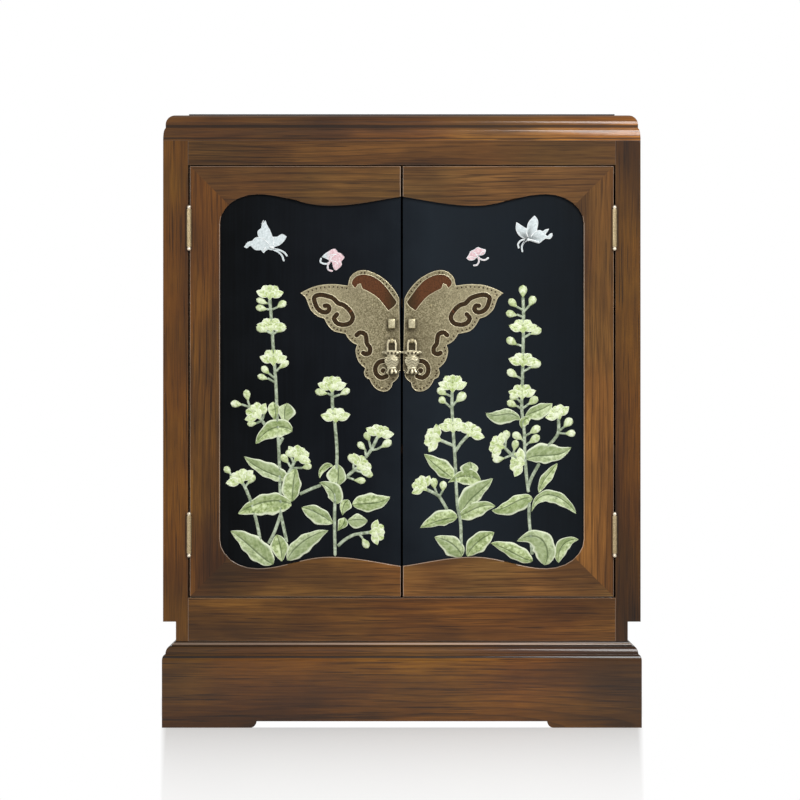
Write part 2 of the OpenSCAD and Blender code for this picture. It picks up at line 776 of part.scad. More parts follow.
// Flower heads: foot, lean from upright away from the meeting line, width and height
left_flowers = [
    [[216, 487], -2, 39, 23], [[214, 434], 0, 40, 22], [[210, 379], 0, 39, 26],
    [[230, 292], 38, 38, 27], [[260, 186], 25, 43, 22], [[175, 223], -35, 39, 25],
    [[114, 335], 0, 41, 26], [[108, 286], 2, 42, 23],
    [[38, 261], -12, 41, 20], [[73, 210], -50, 42, 21], [[54, 107], -90, 36, 25]
];
right_flowers = [
    [[83, 335], 0, 41, 28], [[84, 269], -2, 41, 24], [[65, 257], -75, 41, 27],
    [[108, 263], 30, 42, 22], [[41, 175], -45, 36, 25],
    [[198, 432], 0, 40, 22], [[198, 377], 2, 42, 22], [[197, 324], -2, 39, 24],
    [[168, 245], -70, 38, 24], [[202, 219], -80, 42, 24], [[259, 292], -25, 37, 22]
];

// Buds: stalk end, round end and width
left_buds = [
    [[218, 480], [238, 488], 10], [[219, 471], [239, 475], 11], [[205, 474], [189, 484], 12],
    [[219, 434], [238, 443], 12], [[205, 433], [189, 444], 10],
    [[216, 365], [229, 378], 11], [[218, 357], [236, 363], 10], [[202, 374], [185, 387], 11],
    [[251, 321], [255, 340], 12], [[260, 315], [280, 318], 12],
    [[225, 298], [224, 313], 10], [[236, 285], [253, 284], 10],
    [[279, 202], [290, 214], 11], [[252, 185], [241, 201], 12],
    [[185, 219], [197, 234], 12], [[180, 228], [188, 241], 11], [[164, 212], [147, 216], 11],
    [[120, 333], [142, 338], 12], [[102, 331], [85, 341], 11],
    [[59, 241], [72, 254], 11], [[53, 255], [59, 271], 12], [[35, 245], [17, 257], 13],
    [[79, 218], [85, 235], 12], [[65, 204], [47, 200], 11], [[79, 192], [59, 191], 11],
    [[65, 98], [55, 81], 12]
];
right_buds = [
    [[74, 331], [58, 342], 13], [[73, 317], [61, 327], 12], [[88, 319], [104, 335], 15],
    [[54, 177], [51, 196], 13], [[67, 173], [68, 191], 12],
    [[198, 490], [198, 511], 14], [[189, 474], [175, 488], 12], [[189, 461], [170, 466], 12],
    [[208, 476], [217, 493], 13], [[210, 430], [228, 440], 13], [[189, 413], [171, 424], 13],
    [[210, 375], [227, 386], 13], [[190, 360], [172, 372], 13],
    [[189, 324], [176, 330], 9], [[189, 312], [172, 321], 12], [[206, 315], [222, 328], 13],
    [[208, 268], [226, 280], 13], [[207, 252], [225, 265], 13],
    [[198, 258], [181, 269], 13], [[183, 239], [187, 258], 12],
    [[170, 255], [171, 274], 13], [[169, 228], [148, 225], 12],
    [[264, 278], [278, 293], 14], [[266, 268], [284, 269], 12]
];

module foliage_outline(stems, twigs, leaves) {
    for (s = stems) polygon(band(spots(s), stem_w));
    for (s = twigs) polygon(band(spots(s), twig_w, 2));
    for (s = leaves) polygon(leaf(spots(s[0]), s[1] * min(spread), s[2]));
}

module blossom_outline(flowers, buds) {
    for (s = flowers) polygon(flower(spot(s[0]), s[1], s[2] * spread[0], s[3] * spread[1]));
    for (s = buds) polygon(bud(spot(s[0]), spot(s[1]), s[2] * min(spread)));
}

module foliage(side) {
    color(jade) on_side(side) raised(panel_y, inlay_t) difference() {
        intersection() {
            if (side == LEFT) foliage_outline(left_stems, left_twigs, left_leaves);
            else foliage_outline(right_stems, right_twigs, right_leaves);
            panel_window();
        }
        blossoms_of(side);
    }
}

module blossoms_of(side) {
    if (side == LEFT) blossom_outline(left_flowers, left_buds);
    else blossom_outline(right_flowers, right_buds);
}

module blossoms(side) {
    color(pale_jade) on_side(side) raised(panel_y, inlay_t) blossoms_of(side);
}

// Butterflies, each drawn as u from the meeting line and v down from the head of the opening:
// wings and body as runs between sharp corners, and two feelers
left_white = [
    [[223, -90], [229, -98], [230, -103], [235, -107], [236, -112], [234, -117]],
    [[234, -117], [240, -119], [245, -124], [250, -125], [254, -128], [258, -134]],
    [[258, -134], [253, -136], [248, -132], [243, -136], [239, -139], [230, -139]],
    [[230, -139], [226, -144]],
    [[226, -144], [219, -138], [214, -139], [209, -138], [208, -134]],
    [[208, -134], [200, -131], [193, -125], [188, -117]],
    [[188, -117], [192, -114], [197, -113], [204, -117], [211, -117]],
    [[211, -117], [215, -107], [220, -98], [223, -90]]
];
left_white_feelers = [
    [[210, -137], [200, -139], [192, -143], [188, -148]],
    [[210, -138], [202, -142], [196, -148], [193, -156]]
];
left_pink = [
    [[131, -150], [126, -145], [120, -141]],
    [[120, -141], [115, -138], [109, -137], [104, -143]],
    [[104, -143], [100, -144], [96, -148], [94, -151], [99, -158]],
    [[99, -158], [98, -163], [102, -168], [108, -172], [112, -168], [114, -159]],
    [[114, -159], [118, -157], [122, -154], [131, -150]]
];
left_pink_feelers = [
    [[117, -157], [121, -161], [128, -161], [133, -158], [132, -153]],
    [[117, -157], [121, -164], [120, -171], [114, -173]]
];
right_white = [
    [[187, -93], [195, -98], [204, -104]],
    [[204, -104], [206, -95], [211, -88], [217, -82]],
    [[217, -82], [222, -89], [223, -95], [221, -107]],
    [[221, -107], [226, -106], [230, -108], [235, -105], [241, -104]],
    [[241, -104], [238, -109], [235, -113]],
    [[235, -113], [238, -116], [242, -112], [246, -111]],
    [[246, -111], [246, -116], [242, -121], [235, -120]],
    [[235, -120], [230, -124], [224, -128], [216, -126], [209, -124], [202, -121]],
    [[202, -121], [195, -118], [189, -112], [186, -104], [187, -93]]
];
right_white_feelers = [
    [[204, -121], [195, -123], [190, -129], [191, -135]],
    [[205, -122], [199, -127], [196, -134], [197, -141]]
];
right_pink = [
    [[105, -152], [109, -147], [112, -141], [118, -138]],
    [[118, -138], [124, -134], [130, -136], [137, -138]],
    [[137, -138], [137, -142], [133, -147], [126, -148]],
    [[126, -148], [121, -153], [116, -156], [110, -156], [105, -152]]
];
right_pink_feelers = [
    [[124, -149], [129, -154], [136, -155], [141, -152]],
    [[124, -149], [126, -157], [123, -163], [118, -164]]
];

module butterfly(wings, feelers) {
    translate([0, opening_h]) {
        polygon(runs([for (w = wings) spots(w)], 3));
        for (f = feelers) polygon(band(spots(f), 3));
    }
}

module butterflies(side) {
    color(white_stone) on_side(side) raised(panel_y, inlay_t) {
        butterfly(side == LEFT ? left_white : right_white, side == LEFT ? left_white_feelers : right_white_feelers);
        butterfly(side == LEFT ? left_pink : right_pink, side == LEFT ? left_pink_feelers : right_pink_feelers);
    }
}

// Lock plate: half a butterfly, drawn from the meeting line and the height of the pulls' pivots

plate_runs = [
    [[plate_edge, -49], [5, -51], [5, -58], [9, -64], [15, -69]],
    [[15, -69], [17, -76], [23, -82], [32, -83], [42, -79], [49, -71], [53, -63]],
    [[53, -63], [59, -60], [62, -53], [60, -45]],
    [[60, -45], [66, -40], [72, -32], [75.5, -20], [75, -12], [73, -7]],
    [[73, -7], [81, -3], [88, 4], [92, 11]],
    [[92, 11], [102, 13], [112, 16], [121, 25], [127, 36]],
    [[127, 36], [138, 40], [149, 50], [154, 62], [158, 71], [166, 78]],
    [[166, 78], [150, 86], [133, 91], [110, 92.5], [88, 90]],
    [[88, 90], [85, 103], [76, 112], [64, 115.5], [48, 112], [28, 100.5], [12, 83], [plate_edge, 65]]
];
crescent = [
    [[22, 50], [30, 61], [40, 72], [52, 80], [64, 86]],
    [[64, 86], [67, 94], [73, 92], [76, 87]],
    [[76, 87], [81, 94], [76, 103], [66, 107], [52, 105.5], [38, 98], [26, 86], [9, 63]],
    [[9, 63], [13, 57], [22, 50]]
];
cloud_scroll = [
    [126, 57], [121, 57], [118.5, 51.5], [123, 46.5], [131, 47.5], [138, 53], [142, 62], [143, 71], [134, 75],
    [122, 73], [112, 69], [104, 61], [95, 58], [86, 50], [80, 39], [84, 29.5], [94, 26], [105, 28], [111, 36],
    [106, 43]
];
hook_scroll = [
    [74, 9], [68, 13.5], [60, 10.5], [58, 3], [57, -5], [52, -12], [53, -20], [59, -22], [63, -20]
];
curl_scroll = [
    [29, -33], [37, -35], [43, -43], [42, -54], [34, -60.5], [25, -58]
];
scroll_w = 6;
curl_eye = [30.5, -49];

module plate_outline() {
    polygon(runs(plate_runs, 4));
}

module plate_bands() {
    polygon(runs(crescent, 4));
    for (line = [cloud_scroll, hook_scroll, curl_scroll]) polygon(band(line, scroll_w));
    translate(curl_eye) circle(d = 7);
}

plate_face = panel_y - plate_t;
pull_height = round(pull_share * opening_h);
pivot_y = plate_face - pull_out;
pivot_z = foot_z + pull_height;
staple_z = pivot_z + staple_up;
nail_places = [[48, 58], [151, 74], [33, -77], [68, -22]];

module plate_nail_places() {
    for (p = nail_places) translate([p[0], plate_face, pivot_z + p[1]]) rotate([90, 0, 0]) children();
}

module nail_shank() {
    translate([0, 0, -plate_t - 8]) cylinder(d = nail_head_d / 3, h = plate_t + 8);
}

module lock_plate(side) {
    color(old_brass) on_side(side) difference() {
        translate([0, 0, pull_height]) raised(panel_y, plate_t) plate_outline();
        translate([0, 0, pull_height]) raised(plate_face + plate_sunk, plate_sunk + over) plate_bands();
        staple_shape();
        eye_shape();
        plate_nail_places() nail_shank();
    }
}

module plate_nails(side) {
    color(bright_brass) on_side(side) plate_nail_places() {
        nail_shank();
        intersection() {
            translate([0, 0, -nail_head_d / 4]) sphere(d = nail_head_d * 1.12);
            cylinder(d = nail_head_d * 1.2, h = nail_head_d);
        }
    }
}

// Lock staple: a square loop with a slot across it, its legs clinched behind the panel

clinch_t = 1.5;
clinch_len = 9;
leg_w = 4;

module staple_legs() {
    for (way = [LEFT, RIGHT]) {
        z = staple_z + way * (staple_h - staple_t) / 2;
        block([pull_u - leg_w / 2, plate_face - over, z - staple_t / 2],
              [pull_u + leg_w / 2, door_back + clinch_t, z + staple_t / 2]);
        block([pull_u - leg_w / 2, door_back, min(z, z + way * clinch_len)],
              [pull_u + leg_w / 2, door_back + clinch_t, max(z, z + way * clinch_len)]);
    }
}

module staple_shape() {
    difference() {
        translate([pull_u - staple_w / 2, plate_face, staple_z]) rotate([90, 0, 90])
            linear_extrude(staple_w) staple_side_view();
        block([pull_u - staple_w, plate_face - staple_out + staple_t, staple_z - staple_h / 2 + staple_t],
              [pull_u + staple_w, plate_face + over, staple_z + staple_h / 2 - staple_t]);
    }
    staple_legs();
}

// Side view of the loop, with its two front corners rounded
module staple_side_view() {
    r = 3;
    polygon(concat(
        [[0, -staple_h / 2]],
        [for (a = [0:15:90]) [-staple_out + r - r * sin(a), -staple_h / 2 + r - r * cos(a)]],
        [for (a = [90:-15:0]) [-staple_out + r - r * sin(a), staple_h / 2 - r + r * cos(a)]],
        [[0, staple_h / 2]]
    ));
}

module lock_staple(side) {
    color(bright_brass) on_side(side) staple_shape();
}

// Pull: an eye clinched through the plate, and a bail that carries a flower basket

eye_shank = 3.4;

module eye_shape() {
    difference() {
        union() {
            translate([pull_u, pivot_y, pivot_z]) rotate([0, 90, 0]) cylinder(d = eye_d, h = eye_w, center = true);
            block([pull_u - eye_shank / 2, pivot_y, pivot_z - eye_shank / 2],
                  [pull_u + eye_shank / 2, door_back + clinch_t, pivot_z + eye_shank / 2]);
            block([pull_u - eye_shank / 2, door_back, pivot_z - clinch_len],
                  [pull_u + eye_shank / 2, door_back + clinch_t, pivot_z + clinch_len]);
        }
        translate([pull_u, pivot_y, pivot_z]) rotate([0, 90, 0])
            cylinder(d = pull_bar_d + 2 * running_gap, h = eye_w + over, center = true);
    }
}

module pull_eye(side) {
    color(bright_brass) on_side(side) eye_shape();
}

bail_in = eye_w / 2 + 0.7;
bail_t = 3;
bail_side = 8.2;
basket_half = [
    [6, -17.5], [9, -20.5], [16, -18.5], [13, -22.5], [9, -26], [11.3, -28], [11.8, -33], [10.5, -38],
    [8, -43], [7, -46.5], [8.3, -49], [9.5, -53], [5.5, -52.5], [3, -55]
];

// Half of the bail, seen from the front
module bail_arm() {
    polygon([[bail_in, pull_bar_d / 2], [bail_in + 2.8, pull_bar_d / 2], [bail_side, -4.5],
             [bail_side, -19], [bail_side - 2.8, -19], [bail_side - 2.8, -5.5], [bail_in, -pull_bar_d / 2]]);
}

module pull(side) {
    color(bright_brass) on_side(side) {
        translate([pull_u, pivot_y, pivot_z]) {
            rotate([0, 90, 0]) cylinder(d = pull_bar_d, h = 2 * bail_in + 2, center = true);
            translate([0, bail_t / 2, 0]) rotate([90, 0, 0]) linear_extrude(bail_t) {
                bail_arm();
                mirror([1, 0]) bail_arm();
            }
            translate([0, pull_out - pull_gap, 0]) rotate([90, 0, 0]) linear_extrude(basket_t)
                polygon(concat(basket_half, backwards([for (p = basket_half) [-p[0], p[1]]])));
        }
    }
}

// Hinges

axis_x = xi - side_gap / 2;
axis_y = y0 - axis_out;
knuckle_h = (barrel_h - 4 * knuckle_gap) / 5;
leaf_gap = 0.2;
hinge_heights = [foot_z + hinge_inset, head_z - hinge_inset];
screw_places = [-20, 0, 20];
screw_head_d = 5.2;
screw_y = y0 + 11;

module hinge_places() {
    for (z = hinge_heights) translate([0, 0, z]) children();
}

// A countersunk screw along X, its flat head at the origin
module screw() {
    rotate([0, 90, 0]) {
        cylinder(d1 = screw_head_d, d2 = screw_d, h = leaf_t);
        cylinder(d = screw_d, h = screw_len);
    }
}

module post_screws() {
    for (z = screw_places) translate([xi - leaf_t, screw_y, z]) screw();
}

module door_screws() {
    for (z = screw_places) translate([door_out + leaf_t, screw_y, z]) mirror([1, 0, 0]) screw();
}

// A leaf with every other knuckle, its plate between two places in the gap beside the door
module hinge_leaf(from, to, first) {
    difference() {
        union() {
            block([from, y0 + leaf_gap, -barrel_h / 2], [to, y0 + leaf_gap + leaf_w, barrel_h / 2]);
            for (i = [first:2:4]) {
                z = i * (knuckle_h + knuckle_gap) - barrel_h / 2;
                translate([axis_x, axis_y, z]) cylinder(d = barrel_d, h = knuckle_h);
                block([from, axis_y, z], [to, y0 + leaf_gap + over, z + knuckle_h]);
            }
        }
        translate([axis_x, axis_y, -barrel_h]) cylinder(d = pin_d + 2 * running_gap, h = 2 * barrel_h);
    }
}

module hinge_post_leaves() {
    color(bright_brass) for (side = [LEFT, RIGHT]) on_side(side) difference() {
        hinge_places() hinge_leaf(xi - leaf_t, xi, 0);
        hinge_places() post_screws();
    }
}

module hinge_door_leaves(side) {
    color(bright_brass) on_side(side) difference() {
        hinge_places() hinge_leaf(door_out, door_out + leaf_t, 1);
        hinge_places() door_screws();
    }
}

module hinge_pins() {
    color(bright_brass) for (side = [LEFT, RIGHT]) on_side(side) hinge_places() translate([axis_x, axis_y, 0]) {
        cylinder(d = pin_d, h = barrel_h + ball_d / 2, center = true);
        for (way = [LEFT, RIGHT]) translate([0, 0, way * (barrel_h / 2 + 0.4)]) {
            cylinder(d = pin_d + 1.6, h = 0.8, center = true);
            translate([0, 0, way * ball_d * 0.45]) sphere(d = ball_d);
        }
    }
}

module hinge_screws_posts() {
    color(old_brass) for (side = [LEFT, RIGHT]) on_side(side) hinge_places() post_screws();
}

module hinge_screws_door(side) {
    color(old_brass) on_side(side) hinge_places() door_screws();
}

top_frame_front();
top_frame_side(LEFT);  // top_frame_left
top_frame_side(RIGHT);  // top_frame_right
top_frame_back();
top_panel();
post(LEFT, y0, front_tenon_y);  // post_front_left
post(RIGHT, y0, front_tenon_y);  // post_front_right
post(LEFT, y1 - post_w, back_tenon_y);  // post_back_left
post(RIGHT, y1 - post_w, back_tenon_y);  // post_back_right
front_top_rail();
front_bottom_rail();
side_top_rail(LEFT);  // side_top_rail_left
side_top_rail(RIGHT);  // side_top_rail_right
side_bottom_rail(LEFT);  // side_bottom_rail_left
side_bottom_rail(RIGHT);  // side_bottom_rail_right
side_panel(LEFT);  // side_panel_left
side_panel(RIGHT);  // side_panel_right
back_top_rail();
back_bottom_rail();
back_panel();
floor_board();
shelves();
shelf_cleats();
door_stop();
base_front();
base_side(LEFT);  // base_left
base_side(RIGHT);  // base_right
base_back();
base_blocks();
door_stile(LEFT);  // door_stile_left
door_stile(RIGHT);  // door_stile_right
door_top_rail(LEFT);  // door_top_rail_left
door_top_rail(RIGHT);  // door_top_rail_right
door_bottom_rail(LEFT);  // door_bottom_rail_left
door_bottom_rail(RIGHT);  // door_bottom_rail_right
door_panel(LEFT);  // door_panel_left
door_panel(RIGHT);  // door_panel_right
foliage(LEFT);  // foliage_left
foliage(RIGHT);  // foliage_right
blossoms(LEFT);  // blossoms_left
blossoms(RIGHT);  // blossoms_right
butterflies(LEFT);  // butterflies_left
butterflies(RIGHT);  // butterflies_right
lock_plate(LEFT);  // lock_plate_left
lock_plate(RIGHT);  // lock_plate_right
plate_nails(LEFT);  // plate_nails_left
plate_nails(RIGHT);  // plate_nails_right
lock_staple(LEFT);  // lock_staple_left
lock_staple(RIGHT);  // lock_staple_right
pull_eye(LEFT);  // pull_eye_left
pull_eye(RIGHT);  // pull_eye_right
pull(LEFT);  // pull_left
pull(RIGHT);  // pull_right
hinge_post_leaves();
hinge_door_leaves(LEFT);  // hinge_door_leaves_left
hinge_door_leaves(RIGHT);  // hinge_door_leaves_right
hinge_pins();
hinge_screws_posts();
hinge_screws_door(LEFT);  // hinge_screws_left_door
hinge_screws_door(RIGHT);  // hinge_screws_right_door
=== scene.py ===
"""A two-door cabinet of walnut and black lacquer, dressed over its solids. Lengths are in metres."""

import json
import math
from contextlib import contextmanager

import bpy
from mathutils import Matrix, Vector

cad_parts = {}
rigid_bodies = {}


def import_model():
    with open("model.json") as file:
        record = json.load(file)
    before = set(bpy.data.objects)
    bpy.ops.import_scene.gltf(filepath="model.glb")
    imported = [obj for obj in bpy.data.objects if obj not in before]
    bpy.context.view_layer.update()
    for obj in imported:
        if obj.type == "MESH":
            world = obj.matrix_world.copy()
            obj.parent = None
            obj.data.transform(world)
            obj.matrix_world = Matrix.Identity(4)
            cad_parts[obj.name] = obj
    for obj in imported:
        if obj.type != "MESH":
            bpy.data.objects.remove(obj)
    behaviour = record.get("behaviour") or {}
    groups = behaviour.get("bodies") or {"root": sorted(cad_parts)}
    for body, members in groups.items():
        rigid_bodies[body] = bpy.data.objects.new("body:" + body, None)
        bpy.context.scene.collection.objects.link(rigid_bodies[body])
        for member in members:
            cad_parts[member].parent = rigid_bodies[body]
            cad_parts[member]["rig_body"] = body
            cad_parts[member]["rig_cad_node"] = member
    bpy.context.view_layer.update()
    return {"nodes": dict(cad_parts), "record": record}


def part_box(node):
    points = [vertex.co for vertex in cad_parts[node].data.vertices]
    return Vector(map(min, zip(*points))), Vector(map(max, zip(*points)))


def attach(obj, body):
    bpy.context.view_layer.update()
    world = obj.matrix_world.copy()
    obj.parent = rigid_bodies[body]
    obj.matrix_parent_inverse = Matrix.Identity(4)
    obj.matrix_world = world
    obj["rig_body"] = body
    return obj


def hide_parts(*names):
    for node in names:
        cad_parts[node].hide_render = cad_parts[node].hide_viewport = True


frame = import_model()
bpy.ops.object.select_all(action="DESELECT")
solids = frame["nodes"]
body_of = {n: body for body, members in frame["record"]["behaviour"]["bodies"].items() for n in members}
MM = 0.001


# Finishes

def linear(colour):
    """A screen colour, three numbers up to 255, as the values that a shader takes. Other colours stay."""
    if isinstance(colour, Reading) or len(colour) == 4:
        return colour
    return tuple(c / 3294.6 if c <= 10.3 else ((c / 255 + 0.055) / 1.055) ** 2.4 for c in colour) + (1,)


def even(value):
    """A colour that lightens or darkens what it multiplies, without tinting it."""
    return (value, value, value, 1)


class Reading:
    """A number, place or colour that nodes work out. Arithmetic with it adds the nodes for the result."""

    def __init__(self, nodes, socket):
        self.nodes = nodes
        self.socket = socket

    def math(self, operation, *others):
        return self.nodes.node("Math", "Value", dict(enumerate((self, *others))), operation=operation)

    def __add__(self, other):
        return self.math("ADD", other)

    def __sub__(self, other):
        return self.math("SUBTRACT", other)

    def __mul__(self, other):
        return self.math("MULTIPLY", other)

    def __truediv__(self, other):
        return self.math("DIVIDE", other)

    def __abs__(self):
        return self.math("ABSOLUTE")

    def larger(self, other):
        return self.math("MAXIMUM", other)

    def between(self, low, high, new_low=0.0, new_high=1.0):
        """This number spread from one range to another, and held inside it."""
        return self.nodes.node("MapRange", "Result", {
            "Value": self, "From Min": low, "From Max": high, "To Min": new_low, "To Max": new_high})

    def ramp(self, *stops):
        """A colour for each stop (place, colour) of this number."""
        colour = self.nodes.node("ValToRGB", "Color", {"Fac": self})
        elements = colour.socket.node.color_ramp.elements
        while len(elements) < len(stops):
            elements.new(0.5)
        for element, (place, tint) in zip(elements, stops):
            element.position = place
            element.color = linear(tint)
        return colour


class Nodes:
    """Short ways to add and join the nodes of a tree."""

    def __init__(self, tree):
        self.tree = tree

    def give(self, socket, value):
        """Sets an input to a constant, or joins a reading to it."""
        if isinstance(value, Reading):
            self.tree.links.new(value.socket, socket)
        else:
            socket.default_value = value

    def node(self, kind, output, inputs=(), **settings):
        """Adds a node with its inputs and settings. Returns the reading at one of its outputs."""
        made = self.tree.nodes.new("ShaderNode" + kind)
        for key, value in settings.items():
            setattr(made, key, value)
        for socket in inputs:
            self.give(made.inputs[socket], inputs[socket])
        return Reading(self, made.outputs[output])

    def places(self, scale=(1, 1, 1), shift=(0, 0, 0), turn=(0, 0, 0)):
        """The object's own coordinates, shifted, turned and stretched."""
        return self.node("Mapping", "Vector", {
            "Vector": self.node("TexCoord", "Object"), "Location": shift, "Rotation": turn, "Scale": scale})

    def split(self, vector=None):
        """The three numbers of a vector, or else of the object's own coordinates."""
        first = self.node("SeparateXYZ", "X", {"Vector": vector or self.places()})
        return [Reading(self, output) for output in first.socket.node.outputs]

    def noise(self, vector, scale, detail=2.0, roughness=0.5, distortion=0.0):
        return self.node("TexNoise", "Fac", {"Vector": vector, "Scale": scale, "Detail": detail,
                                             "Roughness": roughness, "Distortion": distortion})

    def cells(self, vector, scale, randomness=1.0):
        """How far each place is from the middle of its cell."""
        return self.node("TexVoronoi", "Distance", {
            "Vector": vector, "Scale": scale, "Randomness": randomness}, feature="F1")

    def mix(self, amount, a, b, mode="MIX"):
        """Colour a, with this amount of colour b over it."""
        return self.node("Mix", 2, {0: amount, 6: linear(a), 7: linear(b)}, data_type="RGBA", blend_type=mode)


class Finish(Nodes):
    """A new material with one shader."""

    def __init__(self, name, roughness=0.4, metallic=0.0, specular=0.5):
        self.material = bpy.data.materials.new(name)
        self.material.use_nodes = True
        super().__init__(self.material.node_tree)
        self.shader = self.tree.nodes["Principled BSDF"]
        self.set("Roughness", roughness)
        self.set("Metallic", metallic)
        self.set("Specular IOR Level", specular)

    def set(self, socket, value):
        self.give(self.shader.inputs[socket], value)

    def bump(self, height, strength, distance):
        self.set("Normal", self.node("Bump", "Normal", {
            "Strength": strength, "Distance": distance, "Height": height}))


# How far each pattern of the wood is drawn out along its grain, the growth rings in a metre, the colours of
# painted shade and of pale edges (partly wear, partly painted highlight), how far the painted shade reaches
# round a hinge, and how far from the middle a board's light across is given
STREAKS, FIGURE, PORES = 0.035, 0.17, 0.018
RINGS = {"x": 0.1, "y": 0.08, "z": 0.04}
RINGS_A_METRE = 105
PAINTED_SHADE, WEAR_AND_HIGHLIGHT = (26, 16, 8), (214, 190, 170)
SHADE_WIDE, SHADE_HIGH = 7 * MM, 41 * MM
HALF_WIDTH = 0.39


def drawn_out(grain, share):
    """The scale of a pattern that is drawn out along the grain."""
    return [share if axis == grain else 1 for axis in "xyz"]


def walnut(grain, number, heart, light, warm, worn, bands, hinged, across):
    """Varnished walnut with its grain along an axis. Its growth rings run round the heart of the tree. light
    says how light the board is, warm how free of blue, and its edge setting how pale its eased edges are,
    partly from wear and partly as a painted highlight. bands paint shade into the grooves and over the lower
    members of a moulding, and a highlight along its bead: height, half height, strength and colour. A hinged
    board has painted shade round its hinges, and across says how light it is at even steps from left to right."""
    wood = Finish(f"walnut_{grain}_{number}" + ("_worn" if worn else ""), roughness=0.42, specular=0.12)

    def shade(red, green, blue):
        red, green, blue, _ = linear((red, green, blue))
        return (red * light, green * light * (1 - 0.12 * warm), blue * light * (1 - 0.5 * warm), 1)

    shift = (0.37 * number, 0.53 * number, 0.29 * number)
    figure = wood.places(drawn_out(grain, FIGURE), shift)
    streak = wood.noise(wood.places(drawn_out(grain, STREAKS), shift), 210, 6, 0.66, 0.2)
    value = streak * 0.3 + wood.noise(figure, 12, 3) * 0.7
    colour = value.ramp((0.38, shade(70, 45, 15)), (0.5, shade(102, 69, 27)), (0.62, shade(134, 96, 44)))
    hue = wood.noise(wood.places((1, 1, 1), shift), 5)
    colour = wood.mix(hue.between(0.4, 0.6, 0, 0.5), colour, (255, 222, 204), "MULTIPLY")

    squeezed = drawn_out(grain, RINGS[grain])
    centre = wood.places(squeezed, [-h * s for h, s in zip(heart, squeezed)])
    away = wood.node("VectorMath", "Value", {0: centre}, operation="LENGTH")
    ring = (away * RINGS_A_METRE + wood.noise(figure, 11) * 5).math("FRACT")
    late = ring.between(0.62, 0.95) * ring.between(1.0, 0.95)
    where = wood.noise(figure, 8).between(0.4, 0.6, 0.08, 0.55)
    colour = wood.mix(late * where, colour, shade(44, 26, 8))

    fibre = wood.noise(wood.places(drawn_out(grain, PORES), shift), 900, 3, 0.6)
    lines = fibre.ramp((0.35, (0.74, 0.72, 0.68, 1)), (0.62, even(1.15)))
    colour = wood.mix(1.0, colour, lines, "MULTIPLY")
    pores = wood.noise(wood.places(drawn_out(grain, PORES), shift), 520)
    colour = wood.mix(pores.between(0.6, 0.68, 0, 0.75), colour, shade(38, 22, 8))
    patches = wood.noise(wood.places(drawn_out(grain, 0.5 + FIGURE / 2), shift), 13, 3)
    colour = wood.mix(1.0, colour, patches.ramp((0.4, (0.82, 0.8, 0.78, 1)), (0.6, even(1.14))), "MULTIPLY")

    x, _, z = wood.split()
    # Eased edges are paler, partly from wear and partly as a painted highlight.
    if worn:
        colour = wood.mix(worn, colour, WEAR_AND_HIGHLIGHT)
    # The bands paint shade into a moulding's grooves and over its lower members, and a highlight along its
    # bead.
    for height, half, strength, tint in bands:
        off = abs(z - height * MM)
        colour = wood.mix(off.between(half * MM, half * 0.6 * MM, 0, strength), colour, tint)
    # Painted shade round each hinge, where its barrel shades the wood beside it.
    if hinged:
        low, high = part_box("hinge_pins")
        pin_x, half_pin = high.x - 2.5 * MM, 37 * MM
        off_x = abs((abs(x) - pin_x) / SHADE_WIDE)
        for height in (low.z + half_pin, high.z - half_pin):
            off = off_x.larger(abs((z - height) / SHADE_HIGH))
            colour = wood.mix(off.between(1, 0.45, 0, 0.9), colour, PAINTED_SHADE)
    if across:
        steps = [(k / (len(across) - 1), even(much)) for k, much in enumerate(across)]
        colour = wood.mix(1.0, colour, x.between(-HALF_WIDTH, HALF_WIDTH).ramp(*steps), "MULTIPLY")
    wood.set("Base Color", colour)
    wood.set("Roughness", streak.between(0.3, 0.7, 0.5, 0.38))
    wood.set("Coat Weight", 0.9)
    wood.set("Coat Roughness", 0.1)
    wood.bump(fibre * 0.4 - pores, 0.12, 0.0004)
    return wood.material


def plain_wood(grain):
    """Unvarnished wood of the inside and the back."""
    wood = Finish(f"inner_wood_{grain}", roughness=0.62, specular=0.3)
    streak = wood.noise(wood.places(drawn_out(grain, STREAKS)), 34, 5, 0.6, 0.3)
    colour = streak.ramp((0.3, (92, 62, 38)), (0.5, (124, 88, 54)), (0.72, (150, 112, 70)))
    pores = wood.noise(wood.places(drawn_out(grain, PORES)), 520)
    wood.set("Base Color", wood.mix(pores.between(0.56, 0.7, 0, 0.4), colour, (70, 46, 28)))
    wood.bump(pores, 0.15, 0.0004)
    return wood.material


def lacquer(name, *across):
    """Blue-black lacquer with faint upright brush marks. It is lighter in the middle of the cabinet, a painted
    sheen of reflected light, as the colours from left to right say."""
    coat = Finish(name, roughness=0.34, specular=0.1)
    marks = coat.noise(coat.places((1, 1, 0.03)), 260, 3, 0.6)
    cloud = coat.noise(coat.places(), 9, 3)
    x = coat.split()[0]
    colour = (x.between(-0.35, 0.35) + cloud.between(0.3, 0.7, -0.06, 0.06)).ramp(*across)
    sheen_colour = across[-2][1]
    coat.set("Base Color", coat.mix(marks.between(0.35, 0.7, 0, 0.14), colour, sheen_colour))
    coat.set("Roughness", cloud.between(0.3, 0.7, 0.3, 0.42))
    coat.bump(marks, 0.05, 0.0003)
    return coat.material


def brass(name, colour, dark, roughness=0.34, speckle=900, patina=0.6):
    """Aged brass: a speckled surface with darker patina in broad clouds."""
    metal = Finish(name, roughness=roughness, metallic=0.7)
    fine = metal.noise(metal.places(), speckle, 3, 0.6)
    cloud = metal.noise(metal.places(), speckle / 18, 3, 0.6)
    speckled = metal.mix(fine.between(0.4, 0.66), colour, dark)
    metal.set("Base Color", metal.mix(cloud.between(0.45, 0.7, 0, patina), speckled, dark))
    metal.set("Roughness", cloud.between(0.3, 0.7, roughness - 0.06, roughness + 0.12))
    metal.bump(fine, 0.2, 0.0002)
    return metal.material


